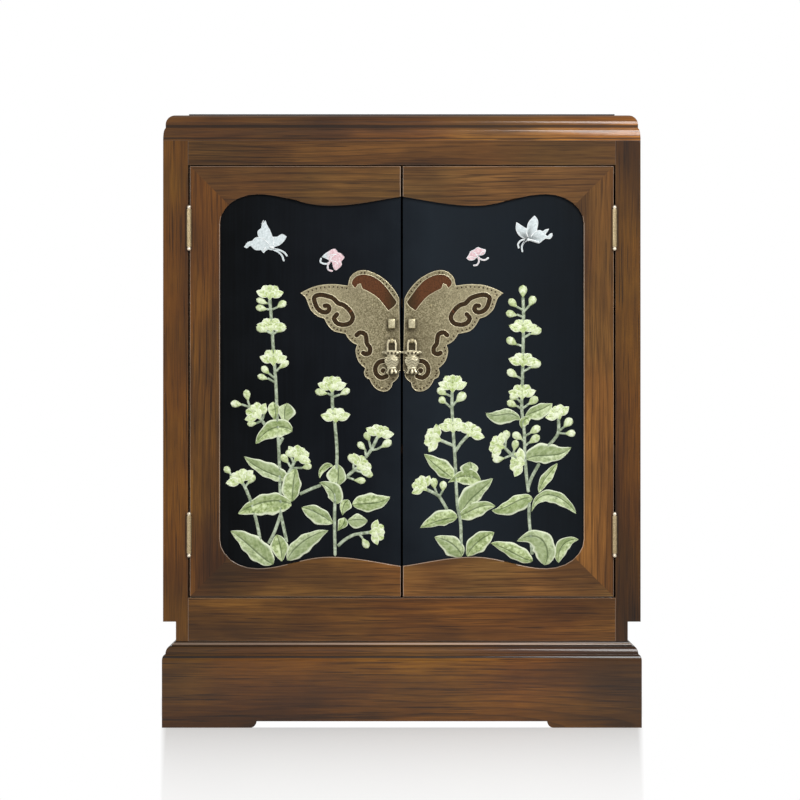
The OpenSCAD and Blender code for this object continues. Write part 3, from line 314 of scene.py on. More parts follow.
def punched_brass(fittings):
    """The plate's dull olive brass: finely mottled, paler out on the wings, with slanting rows of punch marks,
    and painted shade round the fittings, as if cast by them: their middle from the meeting line, height and two
    radii."""
    metal = Finish("plate_brass", roughness=0.46, metallic=0.6)
    mottle = metal.noise(metal.places(), 520, 4, 0.62)
    colour = mottle.ramp((0.36, (92, 83, 56)), (0.5, (138, 129, 98)), (0.64, (182, 172, 140)))
    x, _, z = metal.split()
    off = abs(x)
    colour = metal.mix(off.between(0.03, 0.16) * 0.42, colour, (204, 194, 158))
    cloud = metal.noise(metal.places(), 22, 3)
    colour = metal.mix(cloud.between(0.42, 0.66, 0, 0.35), colour, (112, 102, 78))
    # Painted shade round the staple and the pull, as if they cast it on the plate.
    for middle, height, wide, high in fittings:
        far_x, far_z = (off - middle) / wide, (z - height) / high
        far = far_x * far_x + far_z * far_z
        colour = metal.mix(far.between(2.4, 0.2, 0, 0.75), colour, (58, 46, 28))
    rows = metal.cells(metal.places((1, 1, 1.3), turn=(0, 0.7, 0)), 330, 0.25)
    mark = rows.between(0.3, 0.14)
    metal.set("Base Color", metal.mix(mark * 0.4, colour, (84, 74, 50)))
    metal.set("Roughness", mottle.between(0.3, 0.7, 0.52, 0.4))
    metal.bump(mottle - mark * 0.5, 0.35, 0.0004)
    return metal.material


def cast_brass(name, colour, dark):
    """Cast brass, dark where the piece's own marks say that it is hollow."""
    metal = Finish(name, roughness=0.36, metallic=0.7)
    hollow = metal.split(metal.node("TexCoord", "UV"))[0]
    fine = metal.noise(metal.places(), 800, 3, 0.6)
    speckled = metal.mix(fine.between(0.42, 0.7, 0, 0.5), colour, dark)
    metal.set("Base Color", metal.mix(hollow.between(0.0, 1.0), speckled, (58, 48, 28)))
    metal.bump(fine, 0.15, 0.0002)
    return metal.material


def marked(finish):
    """The marks that each ribbon carries: how far along it lies, how far across, and a chance value."""
    number, across, _ = finish.split(finish.node("TexCoord", "UV"))
    return number.math("FRACT"), across, (number.math("FLOOR") * 0.6180).math("FRACT")


def carved_stone(name, pale, middle, deep, rim, rib=None, veins=0.0, foot=0.0, side=0.0, grey=0.0):
    """Polished soapstone: clouded and paler on the veins. Its rims carry a painted highlight, or painted shade
    where their colour is dark, and painted shade lies in its sunk rib, on one half of a leaf and at the foot.
    """
    stone = Finish(name, roughness=0.36, specular=0.4)
    along, place, chance = marked(stone)
    across = abs(place)
    mottle = stone.noise(stone.places(), 210, 3, 0.55)
    patch = stone.noise(stone.places(), 62, 3)
    colour = mottle.ramp((0.32, deep), (0.5, middle), (0.68, pale))
    colour = stone.mix(patch.between(0.52, 0.66, 0, 0.55), colour, deep)
    colour = stone.mix(patch.between(0.46, 0.34, 0, 0.55), colour, pale)
    if grey:
        colour = stone.mix(chance.between(0.3, 1, 0, grey), colour, (170, 180, 160))
    # Painted shade on one half of a leaf, as if its fold turned that half from the light.
    if side:
        colour = stone.mix(place.between(-0.12, 0.2, 0, side), colour, deep)
    # Painted shade at the foot, where the petals meet.
    if foot:
        colour = stone.mix(along.between(0.6, 0.1, 0, foot), colour, deep)
    if veins:
        wave = along * 5 + across * -1.8
        vein = (wave * math.tau).math("SINE")
        colour = stone.mix(vein.between(0.5, 1, 0, veins), colour, pale)
    # The rims are painted: a highlight where the rim colour is pale, shade where it is dark.
    colour = stone.mix(across.between(0.74, 0.92, 0, 0.9), colour, rim)
    # Painted shade along the sunk rib.
    if rib:
        colour = stone.mix(across.between(0.12, 0.03, 0, 0.8), colour, rib)
    stone.set("Base Color", colour)
    stone.bump(mottle, 0.3, 0.0009)
    return stone.material


def wing_finish():
    """White stone with faint dotted hollows. The inner part of the two small butterflies is pink."""
    stone = Finish("wing_stone", roughness=0.34, specular=0.5)
    x = stone.split()[0]
    mottle = stone.noise(stone.places(), 260, 4, 0.6)
    white = mottle.ramp((0.36, (196, 206, 208)), (0.52, (212, 222, 224)), (0.66, (226, 234, 236)))
    pink = mottle.ramp((0.36, (212, 170, 176)), (0.52, (228, 198, 203)), (0.66, (238, 222, 226)))
    small = abs(x).between(0.155, 0.150)
    colour = stone.mix(small * (abs(x) - x * 0.07).between(0.133, 0.124), white, pink)
    dots = stone.cells(stone.places(), 380)
    stone.set("Base Color", stone.mix(dots.between(0.3, 0.14, 0, 0.4), colour, (164, 176, 172)))
    stone.bump(dots, 0.2, 0.0005)
    return stone.material


def sunk_metal(name, colour, dark):
    """Dull patina in the sunk bands, greener near the meeting line."""
    metal = Finish(name, roughness=0.6, metallic=0.3, specular=0.2)
    fine = metal.noise(metal.places(), 500, 4, 0.6)
    x = metal.split()[0]
    colour = fine.ramp((0.35, dark), (0.65, colour))
    metal.set("Base Color", metal.mix(abs(x).between(0.032, 0.014, 0, 0.8), colour, (50, 42, 22)))
    metal.bump(fine, 0.2, 0.0003)
    return metal.material


inner = {grain: plain_wood(grain) for grain in "xyz"}
# The lighter middle stops of both lacquers are a painted sheen.
black_panel = lacquer("black_lacquer", (0, (3, 4, 4)), (0.4, (14, 18, 24)), (0.6, (27, 34, 41)),
                      (1, (9, 13, 17)))
black_top = lacquer("black_top", (0, (16, 17, 20)), (0.5, (24, 25, 28)), (1, (18, 19, 22)))
hinge_brass = brass("hinge_brass", (226, 206, 164), (150, 128, 88))
# The hinge pins' balls are near white: a painted highlight in their colour.
finial_brass = brass("finial_brass", (255, 246, 226), (236, 220, 190), 0.24, patina=0.1)
screw_brass = brass("screw_brass", (180, 158, 112), (120, 98, 62))
nail_brass = brass("nail_brass", (214, 204, 168), (150, 136, 98))
staple_brass = brass("staple_brass", (232, 224, 190), (176, 164, 124), 0.36, 700, 0.4)
rim_brass = brass("rim_brass", (236, 226, 194), (196, 184, 148), 0.34, 700, 0.3)
pull_brass = cast_brass("pull_brass", (214, 206, 174), (146, 135, 100))
patina_brown = sunk_metal("patina_brown", (70, 51, 27), (34, 24, 11))
patina_red = sunk_metal("patina_red", (104, 63, 36), (74, 44, 24))
pull_low, pull_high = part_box("pull_right")
staple_low, staple_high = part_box("lock_staple_right")
fitting_x = (pull_low.x + pull_high.x) / 2
# The plate's painted shade lies round the pull's eye, its basket and the staple.
plate_brass = punched_brass((
    (fitting_x, pull_high.z - 12 * MM, 9 * MM, 15 * MM), (fitting_x, pull_high.z - 40 * MM, 14 * MM, 22 * MM),
    (fitting_x - 1 * MM, (staple_low.z + staple_high.z) / 2 - 2 * MM, 8.5 * MM, 11 * MM)))
# The stones' pale rims are a painted highlight, and the rib stone's dark rims are painted shade.
leaf_stone = carved_stone("leaf_stone", (222, 235, 190), (182, 199, 138), (116, 136, 76), (236, 244, 216),
                          (80, 98, 52), veins=0.15, side=0.5, grey=0.35)
petal_stone = carved_stone("petal_stone", (242, 249, 224), (222, 234, 184), (172, 192, 116), (248, 252, 236),
                           foot=0.7)
bud_stone = carved_stone("bud_stone", (240, 247, 224), (216, 228, 180), (168, 186, 122), (228, 238, 206),
                         foot=0.5)
stem_stone = carved_stone("stem_stone", (200, 212, 188), (164, 177, 150), (118, 132, 104), (182, 195, 170))
rib_stone = carved_stone("rib_stone", (250, 252, 252), (240, 245, 245), (214, 222, 223), (134, 146, 148))
edge_stone = carved_stone("edge_stone", (250, 252, 252), (238, 243, 244), (208, 216, 218), (238, 243, 244))
wing_stone = wing_finish()


# Ways of working on a piece

def only(piece):
    """Makes this piece the one that is selected and active."""
    bpy.ops.object.select_all(action="DESELECT")
    piece.select_set(True)
    bpy.context.view_layer.objects.active = piece


@contextmanager
def whole_mesh():
    """Edit mode, with all of the active piece's mesh selected."""
    bpy.ops.object.mode_set(mode="EDIT")
    bpy.ops.mesh.select_all(action="SELECT")
    yield
    bpy.ops.object.mode_set(mode="OBJECT")


def named(name):
    """The active piece, with a name for it and its mesh."""
    piece = bpy.context.active_object
    piece.name = name
    piece.data.name = name
    return piece


def finish_with(kind, **settings):
    """Adds a modifier to the active piece and applies it."""
    piece = bpy.context.active_object
    made = piece.modifiers.new(kind.lower(), kind)
    for key, value in settings.items():
        setattr(made, key, value)
    bpy.ops.object.modifier_apply(modifier=made.name)


def smooth_below(angle):
    """Smooths the active piece, apart from its sharper edges."""
    bpy.ops.object.shade_smooth_by_angle(angle=math.radians(angle))


def wear(mesh, *finishes):
    """Gives a mesh these finishes in place of its own."""
    mesh.materials.clear()
    for finish in finishes:
        mesh.materials.append(finish)


def stand_for(piece, node, *finishes):
    """Gives a piece its finishes, and sets it on its body in place of a solid."""
    places = [face.material_index for face in piece.data.polygons]
    wear(piece.data, *finishes)
    piece.data.polygons.foreach_set("material_index", places)
    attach(piece, body_of[node])
    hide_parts(node)


def copy_of(node, name):
    """A copy of a solid, its doubles merged and its flat faces joined."""
    only(solids[node])
    bpy.ops.object.duplicate()
    bpy.ops.object.parent_clear(type="CLEAR_KEEP_TRANSFORM")
    piece = named(name)
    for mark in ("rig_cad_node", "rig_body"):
        if mark in piece:
            del piece[mark]
    bpy.ops.mesh.customdata_custom_splitnormals_clear()
    with whole_mesh():
        bpy.ops.mesh.remove_doubles(threshold=0.00001)
        bpy.ops.mesh.dissolve_limited(angle_limit=math.radians(0.4))
    return piece


def joined(pieces, name):
    """One piece of several, its seams and poles closed and its faces turned outwards."""
    only(pieces[0])
    for piece in pieces:
        piece.select_set(True)
    bpy.ops.object.join()
    piece = named(name)
    with whole_mesh():
        bpy.ops.mesh.remove_doubles(threshold=0.00002)
        bpy.ops.mesh.dissolve_degenerate(threshold=0.00001)
        bpy.ops.mesh.normals_make_consistent(inside=False)
    smooth_below(60)
    only(piece)
    bpy.ops.object.transform_apply(location=True, rotation=True, scale=True)
    return piece


def faces_beside(mesh):
    """The faces at each edge of a mesh, by the edge's key."""
    beside = {}
    for face in mesh.polygons:
        for key in face.edge_keys:
            beside.setdefault(key, []).append(face)
    return beside


def ease_edges(width, angle, finishes=(), held=True):
    """Rounds the active piece's sharp edges, and gives them the last of the finishes. Held edges are rounded
    less where they lie close together."""
    wear(bpy.context.active_object.data, *finishes)
    finish_with("BEVEL", width=width * MM, segments=3, limit_method="ANGLE", angle_limit=math.radians(angle),
                use_clamp_overlap=held, material=len(finishes) - 1)
    smooth_below(angle)


# Carcass, base and door frames

def board(node, grain, number, light, warm, ease=0.7, lip=0.0, worn=0.4, bands=(), heart=None, across=()):
    """A wooden piece with its edges eased and paler, partly from wear and partly as a painted highlight, and
    the lip of its wavy side more, but no mitre.
    """
    piece = copy_of(node, node + "_board")
    mesh = piece.data
    low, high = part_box(node)
    beside = faces_beside(mesh)
    weights = mesh.attributes.new("bevel_weight_edge", "FLOAT", "EDGE").data
    for edge, weight in zip(mesh.edges, weights):
        normals = [face.normal for face in beside.get(edge.key, ())]
        a, b = (mesh.vertices[v].co for v in edge.vertices)
        run = b - a
        if len(normals) != 2 or normals[0].angle(normals[1]) < math.radians(40):
            continue
        mitred = min(abs(run.x), abs(run.z)) > 0.2 * run.length and run.length > 18 * MM
        if not mitred:
            inside = low.x + MM < a.x < high.x - MM or low.z + MM < a.z < high.z - MM
            at_lip = lip and inside and min(n.y for n in normals) < -0.9
            weight.value = 1.0 if at_lip else ease / max(ease, lip)
    if heart is None:
        middle, share, way = (low + high) / 2, 0.2 + 0.37 * number % 0.7, (-1) ** number
        heart = [low[k] + share * (high[k] - low[k]) if axis == grain else middle[k] + off
                 for k, (axis, off) in enumerate(zip("xyz", (0.13 * way, 0.05, 0.12 * way)))]
    hinged = "stile" in node or "post_front" in node
    finishes = [walnut(grain, number, heart, light, warm, worn_and_lit, bands, hinged, across)
                for worn_and_lit in (0, worn)]
    wear(mesh, *finishes)
    finish_with("BEVEL", width=max(ease, lip) * MM, segments=3, limit_method="WEIGHT",
                use_clamp_overlap=False, material=1)
    # The pale edge finish is partly a painted highlight: on a wavy lip it comes off the faces that look down,
    # where less light falls.
    for face in mesh.polygons:
        above = face.center.z - low.z > 2 * MM or "top" in node
        if lip and face.normal.z < -0.1 and face.material_index == 1 and above:
            face.material_index = 0
    smooth_below(38)
    finish_with("WEIGHTED_NORMAL", keep_sharp=True)
    stand_for(piece, node, *finishes)


for node, grain, number, light, warm in (
        ("post_front_left", "z", 1, 0.63, 1.4), ("post_front_right", "z", 2, 0.52, 1.5),
        ("post_back_left", "z", 3, 0.8, 1.0), ("post_back_right", "z", 4, 0.8, 1.0),
        ("front_top_rail", "x", 1, 0.6, 0.3), ("side_top_rail_left", "y", 1, 0.8, 1.0),
        ("side_top_rail_right", "y", 2, 0.8, 1.0), ("side_bottom_rail_left", "y", 3, 0.8, 1.0),
        ("side_bottom_rail_right", "y", 4, 0.8, 1.0), ("side_panel_left", "z", 5, 0.85, 1.0),
        ("side_panel_right", "z", 6, 0.85, 1.0)):
    board(node, grain, number, light, warm, ease=0.4, worn=0.1)
for node, grain, number, light, warm, across in (
        ("door_stile_left", "z", 7, 0.8, 1.1, ()), ("door_stile_right", "z", 8, 1.06, 0.3, ()),
        ("door_top_rail_left", "x", 3, 0.72, 0.0, ()), ("door_top_rail_right", "x", 4, 0.78, -0.4, ()),
        ("door_bottom_rail_left", "x", 5, 1.12, 0.4, (0.5, 0.5, 0.85, 1, 1, 1, 1, 1, 1)),
        ("door_bottom_rail_right", "x", 6, 1.06, -0.1, (1, 1, 1, 1, 1, 1, 0.98, 0.72, 0.6))):
    board(node, grain, number, light, warm, lip=1.3, across=across)
board("front_bottom_rail", "x", 2, 1.06, 0.9, ease=0.5)
# Painted shade in the groove under the top's upper roll, and a dark line near its foot.
TOP_SHADE_BANDS = ((981.3, 3.0, 0.8, PAINTED_SHADE), (961.6, 1.2, 0.75, PAINTED_SHADE))
# Steps of light across the front of the top darken its left end and brighten its right: a painted highlight of
# the lamp on its rolls.
for node, grain, number, light, across in (
        ("top_frame_front", "x", 7, 1.4, (0.5, 0.62, 0.62, 0.85, 1.25, 1.4, 1.6, 2.2, 3.2)),
        ("top_frame_left", "y", 5, 0.9, ()), ("top_frame_right", "y", 6, 0.9, ())):
    board(node, grain, number, light, 0.5, ease=0.3, worn=0.05, across=across, bands=TOP_SHADE_BANDS)
# Painted shade over the lower members of the base's moulding and in its grooves, and a painted highlight along
# its bead.
BASE_LIGHT_AND_SHADE_BANDS = ((124, 12, 0.42, (58, 40, 34)), (115.2, 2.0, 0.9, PAINTED_SHADE), (120.5, 1.4, 0.4, PAINTED_SHADE),
              (132.6, 1.5, 0.85, PAINTED_SHADE), (139.4, 1.7, 0.9, PAINTED_SHADE), (136.2, 1.7, 0.75, WEAR_AND_HIGHLIGHT))
for node, grain, number, light, heart, across in (
        ("base_front", "x", 8, 1.2, (-0.02, -0.16, -0.005),
         (0.36, 0.42, 0.48, 0.66, 0.82, 0.92, 0.9, 0.68, 0.42)),
        ("base_left", "y", 7, 1.0, None, ()), ("base_right", "y", 8, 1.0, None, ())):
    board(node, grain, number, light, 1.5, ease=0.3, worn=0.15, bands=BASE_LIGHT_AND_SHADE_BANDS, heart=heart, across=across)

for material, nodes in (
        (inner["x"], ("top_frame_back", "back_top_rail", "back_bottom_rail", "floor_board", "shelves",
                      "door_stop", "base_back")),
        (inner["y"], ("shelf_cleats",)), (inner["z"], ("back_panel", "base_blocks")),
        (black_top, ("top_panel",)), (black_panel, ("door_panel_left", "door_panel_right")),
        (hinge_brass, ("hinge_post_leaves", "hinge_door_leaves_left", "hinge_door_leaves_right")),
        (finial_brass, ("hinge_pins",)), (nail_brass, ("plate_nails_left", "plate_nails_right")),
        (screw_brass, ("hinge_screws_posts", "hinge_screws_left_door", "hinge_screws_right_door"))):
    for node in nodes:
        wear(solids[node].data, material)


# Inlay: ribbons of carved stone laid along lines on the door panels. Places are in millimetres, from the
# meeting line of the doors towards the hinge, and up from the foot of the opening

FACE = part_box("door_panel_left")[0].y
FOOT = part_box("front_bottom_rail")[1].z
LEFT, RIGHT = -1, 1


def spot(side, u, v, out):
    """A place on a door, out from its panel's face."""
    return Vector((side * u * MM, FACE - out * MM, FOOT + v * MM))


def steered(p, steps):
    """A smooth line that the middle two of four points steer."""
    for k in range(steps + 1):
        t = k / steps
        weights = ((1 - t) ** 3, 3 * (1 - t) ** 2 * t, 3 * (1 - t) * t * t, t ** 3)
        yield Vector([sum(w * q[axis] for w, q in zip(weights, p)) for axis in (0, 1)])


def through(points, steps):
    """A smooth line through points."""
    p = [Vector(q) for q in points]
    p = [2 * p[0] - p[1]] + p + [2 * p[-1] - p[-2]]
    line = []
    for a, b, c, d in zip(p, p[1:], p[2:], p[3:]):
        for k in range(steps):
            t = k / steps
            line.append(0.5 * (2 * b + (c - a) * t + (2 * a - 5 * b + 4 * c - d) * t * t
                               + (3 * b - a - 3 * c + d) * t ** 3))
    return line + [p[-2]]


def straight(a, b, steps):
    return [a.lerp(b, k / steps) for k in range(steps + 1)]


def length_of(line):
    return sum((b - a).length for a, b in zip(line, line[1:]))


def ribbon(side, line, half, section, peak, number, lift=0.0, wave=None):
    """A closed strip along a line. half and peak give its half width and its height along the line, and
    section gives for each place across: its share of the half width, of the height, and its mark. wave gives
    how much the margin and its height swing, by the place along and across."""
    long, wide = len(line) - 1, len(section) - 1
    bpy.ops.mesh.primitive_grid_add(x_subdivisions=long, y_subdivisions=wide, size=1)
    piece = bpy.context.active_object
    cells = [(round((v.co.x + 0.5) * long), round((v.co.y + 0.5) * wide)) for v in piece.data.vertices]
    for vertex, (i, j) in zip(piece.data.vertices, cells):
        t = i / long
        ahead = (line[min(i + 1, long)] - line[max(i - 1, 0)]).normalized()
        across, height, _ = section[j]
        swing = wave(t, across) if wave else 0
        place = line[i] + Vector((-ahead.y, ahead.x)) * across * half(t) * (1 + swing)
        out = height * peak(t) * (1 + 2 * swing) + lift if height > 0 else height
        vertex.co = spot(side, place.x, place.y, out)
    marks = piece.data.uv_layers[0].data
    for loop in piece.data.loops:
        i, j = cells[loop.vertex_index]
        marks[loop.index].uv = (number + 0.02 + 0.96 * i / long, section[j][2])
    return piece


def rounded(t):
    """The height along a leaf: full, and falling off at both ends."""
    return min(1, 0.35 + 2.6 * t) * min(1, 0.35 + 2.6 * (1 - t))


def leaf_width(t, fat, slender):
    """The share of its full width along a leaf that is widest at a share fat of its length."""
    return max(0, math.sin(math.pi * t ** (math.log(0.5) / math.log(fat)))) ** slender


def folded(fold):
    """Across a leaf: a rim on each side and a sunk rib between, which lies to one side by fold."""
    half = ((1, 0), (0.985, 0.62), (0.9, 0.86), (0.72, 0.84), (0.45, 0.96), (0.2, 0.9), (0.06, 0.66))
    low, high = fold + 1, 1 - fold
    return ([(fold - low * a, h, -a) for a, h in half] + [(fold, 0.5, 0)]
            + [(fold + high * a, h, a) for a, h in half[::-1]] + [(0, -0.1, 1.2), (-1, 0, -1)])


ROUND = [(-1, 0, -1), (-0.94, 0.42, -0.8), (-0.72, 0.78, -0.5), (-0.36, 0.97, -0.25), (0, 1, 0),
         (0.36, 0.97, 0.25), (0.72, 0.78, 0.5), (0.94, 0.42, 0.8), (1, 0, 1), (0, -0.1, 1.2), (-1, 0, -1)]


def stem(side, points, width, number):
    """A round stem through points, with round ends."""
    line = through(points, 6)
    long = length_of(line)

    def half(t):
        end = min(t, 1 - t) * long
        return width / 2 * math.sqrt(max(0, 1 - max(0, 1 - end / (width / 2)) ** 2))

    ends = [Vector(line[0]) + (line[1] - line[0]) * k for k in (0, 0.3)]
    line = ends + line[1:-1] + [line[-1] - (line[-1] - line[-2]) * k for k in (0.3, 0)]
    return ribbon(side, line, half, ROUND, lambda t: 2.3 * min(1, width / 4), number)


def leaf(side, steer, width, fat, number):
    """A leaf along a midrib that four points steer, widest at a share fat of its length."""
    line = list(steered(steer, 26))
    long = length_of(line)
    fold = (0.28, -0.22, 0.12, -0.3, 0.2)[number % 5]

    def wave(t, across):
        turn = 2 * math.pi * long / 24 * t + number + (2 if across > 0 else 0)
        return 0.07 * min(1, 6 * t) * math.sin(turn) * abs(across)

    return ribbon(side, line, lambda t: width / 2 * leaf_width(t, fat, 0.8), folded(fold),
                  lambda t: 2.8 * rounded(t), number, wave=wave)


def bud(side, stalk, tip, width, number):
    """A bud that swells from its stalk and is round at its tip."""
    def half(t):
        swelling = 0.16 + 0.84 * math.sin(math.pi / 2 * min(1, t / 0.62)) ** 1.6
        end = math.sqrt(max(0, 1 - max(0, (t - 0.62) / 0.38) ** 2))
        return width / 2 * swelling * end * min(1, t * 12)

    return ribbon(side, straight(Vector(stalk), Vector(tip), 10), half, ROUND,
                  lambda t: 3.2 * (0.5 + 0.5 * math.sin(math.pi * t)), number)


# Petals of a flower head, from the back to the front: start and end as shares of its width and height, its
# width as a share of the head's, where it is widest, how far it lies in front, and how slender its ends are
PETALS = (((0.05, 0.38), (0.3, 0.98), 0.36, 0.62, 0.0, 0.6),
          ((-0.05, 0.38), (-0.3, 0.98), 0.36, 0.62, 0.0, 0.6),
          ((0.0, 0.5), (0.0, 1.06), 0.31, 0.66, 0.4, 0.6),
          ((0.02, 0.26), (0.58, 0.58), 0.36, 0.48, 0.7, 0.85),
          ((-0.02, 0.26), (-0.58, 0.58), 0.36, 0.48, 0.7, 0.85),
          ((0.0, -0.05), (0.0, 0.68), 0.5, 0.7, 1.1, 0.6),
          ((0.0, 0.54), (0.0, 0.8), 0.13, 0.5, 2.2, 0.5))


def flower(side, foot, lean, width, height, number):
    """The petals of a flower head that leans by an angle from upright."""
    c, s = math.cos(math.radians(lean)), math.sin(math.radians(lean))

    def at(x, y):
        return Vector((foot[0] + x * width * c + y * height * s, foot[1] + y * height * c - x * width * s))

    def half(wide, fat, slender):
        return lambda t: wide * width / 2 * leaf_width(t, fat, slender)

    return [ribbon(side, straight(at(*start), at(*end), 8), half(wide, fat, slender), folded(0.0),
                   lambda t: 2.2 * rounded(t), number + k, lift)
            for k, (start, end, wide, fat, lift, slender) in enumerate(PETALS)]


# The inlay's shapes, door by door. A stem or twig has the places along it, a leaf its four steering points, its
# width and where it is widest, a flower head its foot, lean in degrees, width and height, and a bud its stalk,
# tip and width
LEFT_STEMS = [
    [[216, 490], [213, 452], [210, 405], [206, 350], [204, 300], [201, 240], [199, 180], [198, 132]],
    [[198, 136], [208, 108], [218, 88]],
    [[198, 136], [193, 114], [188, 90]],
    [[231, 92], [236, 118], [241, 138], [247, 158], [256, 180], [262, 189]],
    [[187, 200], [180, 213], [174, 226]],
    [[222, 280], [229, 290], [235, 296]],
    [[202, 248], [194, 262]],
    [[114, 337], [113, 310], [109, 280], [106, 235], [108, 190], [110, 130], [109, 67]],
    [[60, 228], [50, 242], [39, 264]],
    [[92, 196], [83, 204], [72, 213]],
    [[105, 84], [94, 94], [80, 102], [66, 105], [51, 107]],
    [[167, 169], [150, 177], [132, 184]]
]
RIGHT_STEMS = [
    [[82, 337], [82, 310], [84, 270], [87, 225], [89, 180], [91, 150], [96, 122], [97, 85]],
    [[86, 248], [76, 252], [62, 258]],
    [[87, 238], [96, 252], [109, 266]],
    [[74, 144], [66, 158], [58, 168], [40, 177]],
    [[198, 492], [199, 455], [198, 400], [197, 350], [196, 310], [200, 270], [201, 235], [204, 195],
     [207, 172]],
    [[206, 178], [212, 196], [225, 220]],
    [[208, 156], [208, 130], [211, 95], [213, 70]],
    [[187, 228], [178, 235], [168, 245]],
    [[238, 247], [250, 260], [256, 272], [256, 295]]
]
LEFT_TWIGS = [
    [[214, 470], [221, 472]], [[213, 478], [220, 482]], [[212, 471], [203, 475]],
    [[211, 430], [221, 436]], [[211, 430], [203, 436]],
    [[207, 358], [218, 367]], [[206, 351], [220, 359]], [[206, 369], [200, 376]],
    [[248, 311], [252, 323]], [[248, 311], [262, 316]], [[228, 290], [225, 300]], [[229, 289], [238, 285]],
    [[279, 199], [281, 205]], [[256, 181], [251, 188]],
    [[181, 212], [186, 221]], [[177, 220], [181, 230]], [[180, 212], [162, 212]],
    [[113, 330], [122, 334]], [[113, 328], [101, 332]],
    [[59, 232], [60, 243]], [[50, 242], [54, 257]], [[49, 241], [40, 243], [33, 247]],
    [[79, 207], [79, 220]], [[76, 208], [63, 204]], [[90, 197], [78, 193]],
    [[70, 104], [64, 97]]
]
RIGHT_TWIGS = [
    [[82, 328], [72, 333]], [[82, 309], [71, 319]], [[82, 312], [89, 321]],
    [[58, 168], [54, 179]], [[61, 165], [67, 175]],
    [[198, 470], [187, 476]], [[198, 459], [187, 463]], [[199, 467], [209, 478]],
    [[198, 424], [211, 432]], [[198, 411], [187, 414]],
    [[198, 369], [211, 377]], [[198, 356], [188, 362]],
    [[196, 318], [187, 326]], [[196, 308], [187, 314]], [[197, 309], [208, 317]],
    [[201, 264], [210, 269]], [[201, 248], [209, 254]],
    [[201, 254], [196, 259]], [[181, 233], [184, 242]], [[169, 243], [170, 258]], [[180, 233], [167, 228]],
    [[257, 272], [266, 280]], [[256, 269], [268, 268]]
]
LEFT_LEAVES = [
    [[[208, 289], [207, 300], [211, 310], [210, 320]], 20, 0.6],
    [[[190, 284], [190, 296], [188, 306], [187, 318]], 29, 0.6],
    [[[179, 272], [198, 284], [222, 276], [239, 251]], 31, 0.4],
    [[[186, 193], [205, 206], [236, 212], [258, 231]], 26, 0.4],
    [[[180, 157], [183, 178], [180, 196], [173, 213]], 32, 0.42],
    [[[180, 151], [205, 158], [238, 152], [268, 137]], 36, 0.42],
    [[[210, 55], [232, 74], [254, 98], [280, 109]], 36, 0.38],
    [[[196, 59], [198, 74], [201, 90], [205, 103]], 29, 0.55],
    [[[187, 61], [172, 80], [150, 99], [120, 110]], 29, 0.42],
    [[[107, 181], [107, 193], [106, 205], [106, 219]], 32, 0.5],
    [[[112, 214], [122, 221], [134, 210], [134, 195]], 11, 0.5],
    [[[108, 153], [104, 170], [113, 184], [135, 188]], 26, 0.38],
    [[[81, 152], [60, 158], [38, 152], [19, 165]], 30, 0.42],
    [[[97, 134], [96, 146], [91, 152], [87, 160]], 20, 0.62],
    [[[112, 122], [128, 128], [146, 142], [164, 147]], 28, 0.5],
    [[[105, 109], [99, 118], [95, 124], [94, 131]], 17, 0.6],
    [[[89, 126], [78, 124], [68, 125], [56, 126]], 24, 0.5]
]
RIGHT_LEAVES = [
    [[[84, 195], [73, 210], [56, 218], [36, 235]], 27, 0.4],
    [[[108, 190], [109, 203], [111, 212], [111, 222]], 29, 0.62],
    [[[75, 188], [95, 200], [112, 200], [129, 190]], 28, 0.62],
    [[[97, 139], [102, 166], [126, 176], [149, 195]], 30, 0.42],
    [[[92, 132], [112, 136], [130, 154], [153, 149]], 26, 0.45],
    [[[91, 131], [72, 136], [53, 128], [30, 114]], 26, 0.4],
    [[[98, 67], [89, 80], [75, 92], [53, 99]], 32, 0.42],
    [[[107, 67], [115, 84], [131, 96], [151, 107]], 31, 0.5],
    [[[194, 290], [176, 308], [158, 284], [137, 302]], 25, 0.5],
    [[[201, 296], [216, 302], [232, 304], [246, 318]], 25, 0.5],
    [[[199, 275], [196, 286], [202, 293], [212, 293]], 15, 0.5],
    [[[202, 226], [225, 246], [250, 226], [277, 246]], 33, 0.42],
    [[[224, 171], [228, 190], [243, 202], [254, 220]], 17, 0.5],
    [[[214, 161], [196, 164], [170, 136], [147, 143]], 27, 0.42],
    [[[212, 140], [222, 182], [262, 168], [285, 137]], 21, 0.55],
    [[[214, 60], [196, 68], [172, 86], [145, 89]], 25, 0.42],
    [[[233, 53], [240, 82], [226, 112], [188, 92]], 38, 0.38],
    [[[256, 57], [256, 80], [266, 96], [289, 95]], 22, 0.45]
]
LEFT_FLOWERS = [
    [[216, 487], -2, 39, 23], [[214, 434], 0, 40, 22], [[210, 379], 0, 39, 26],
    [[230, 292], 38, 38, 27], [[260, 186], 25, 43, 22], [[175, 223], -35, 39, 25],
    [[114, 335], 0, 41, 26], [[108, 286], 2, 42, 23],
    [[38, 261], -12, 41, 20], [[73, 210], -50, 42, 21], [[54, 107], -90, 36, 25]
]
RIGHT_FLOWERS = [
    [[83, 335], 0, 41, 28], [[84, 269], -2, 41, 24], [[65, 257], -75, 41, 27],
    [[108, 263], 30, 42, 22], [[41, 175], -45, 36, 25],
    [[198, 432], 0, 40, 22], [[198, 377], 2, 42, 22], [[197, 324], -2, 39, 24],
    [[168, 245], -70, 38, 24], [[202, 219], -80, 42, 24], [[259, 292], -25, 37, 22]
]
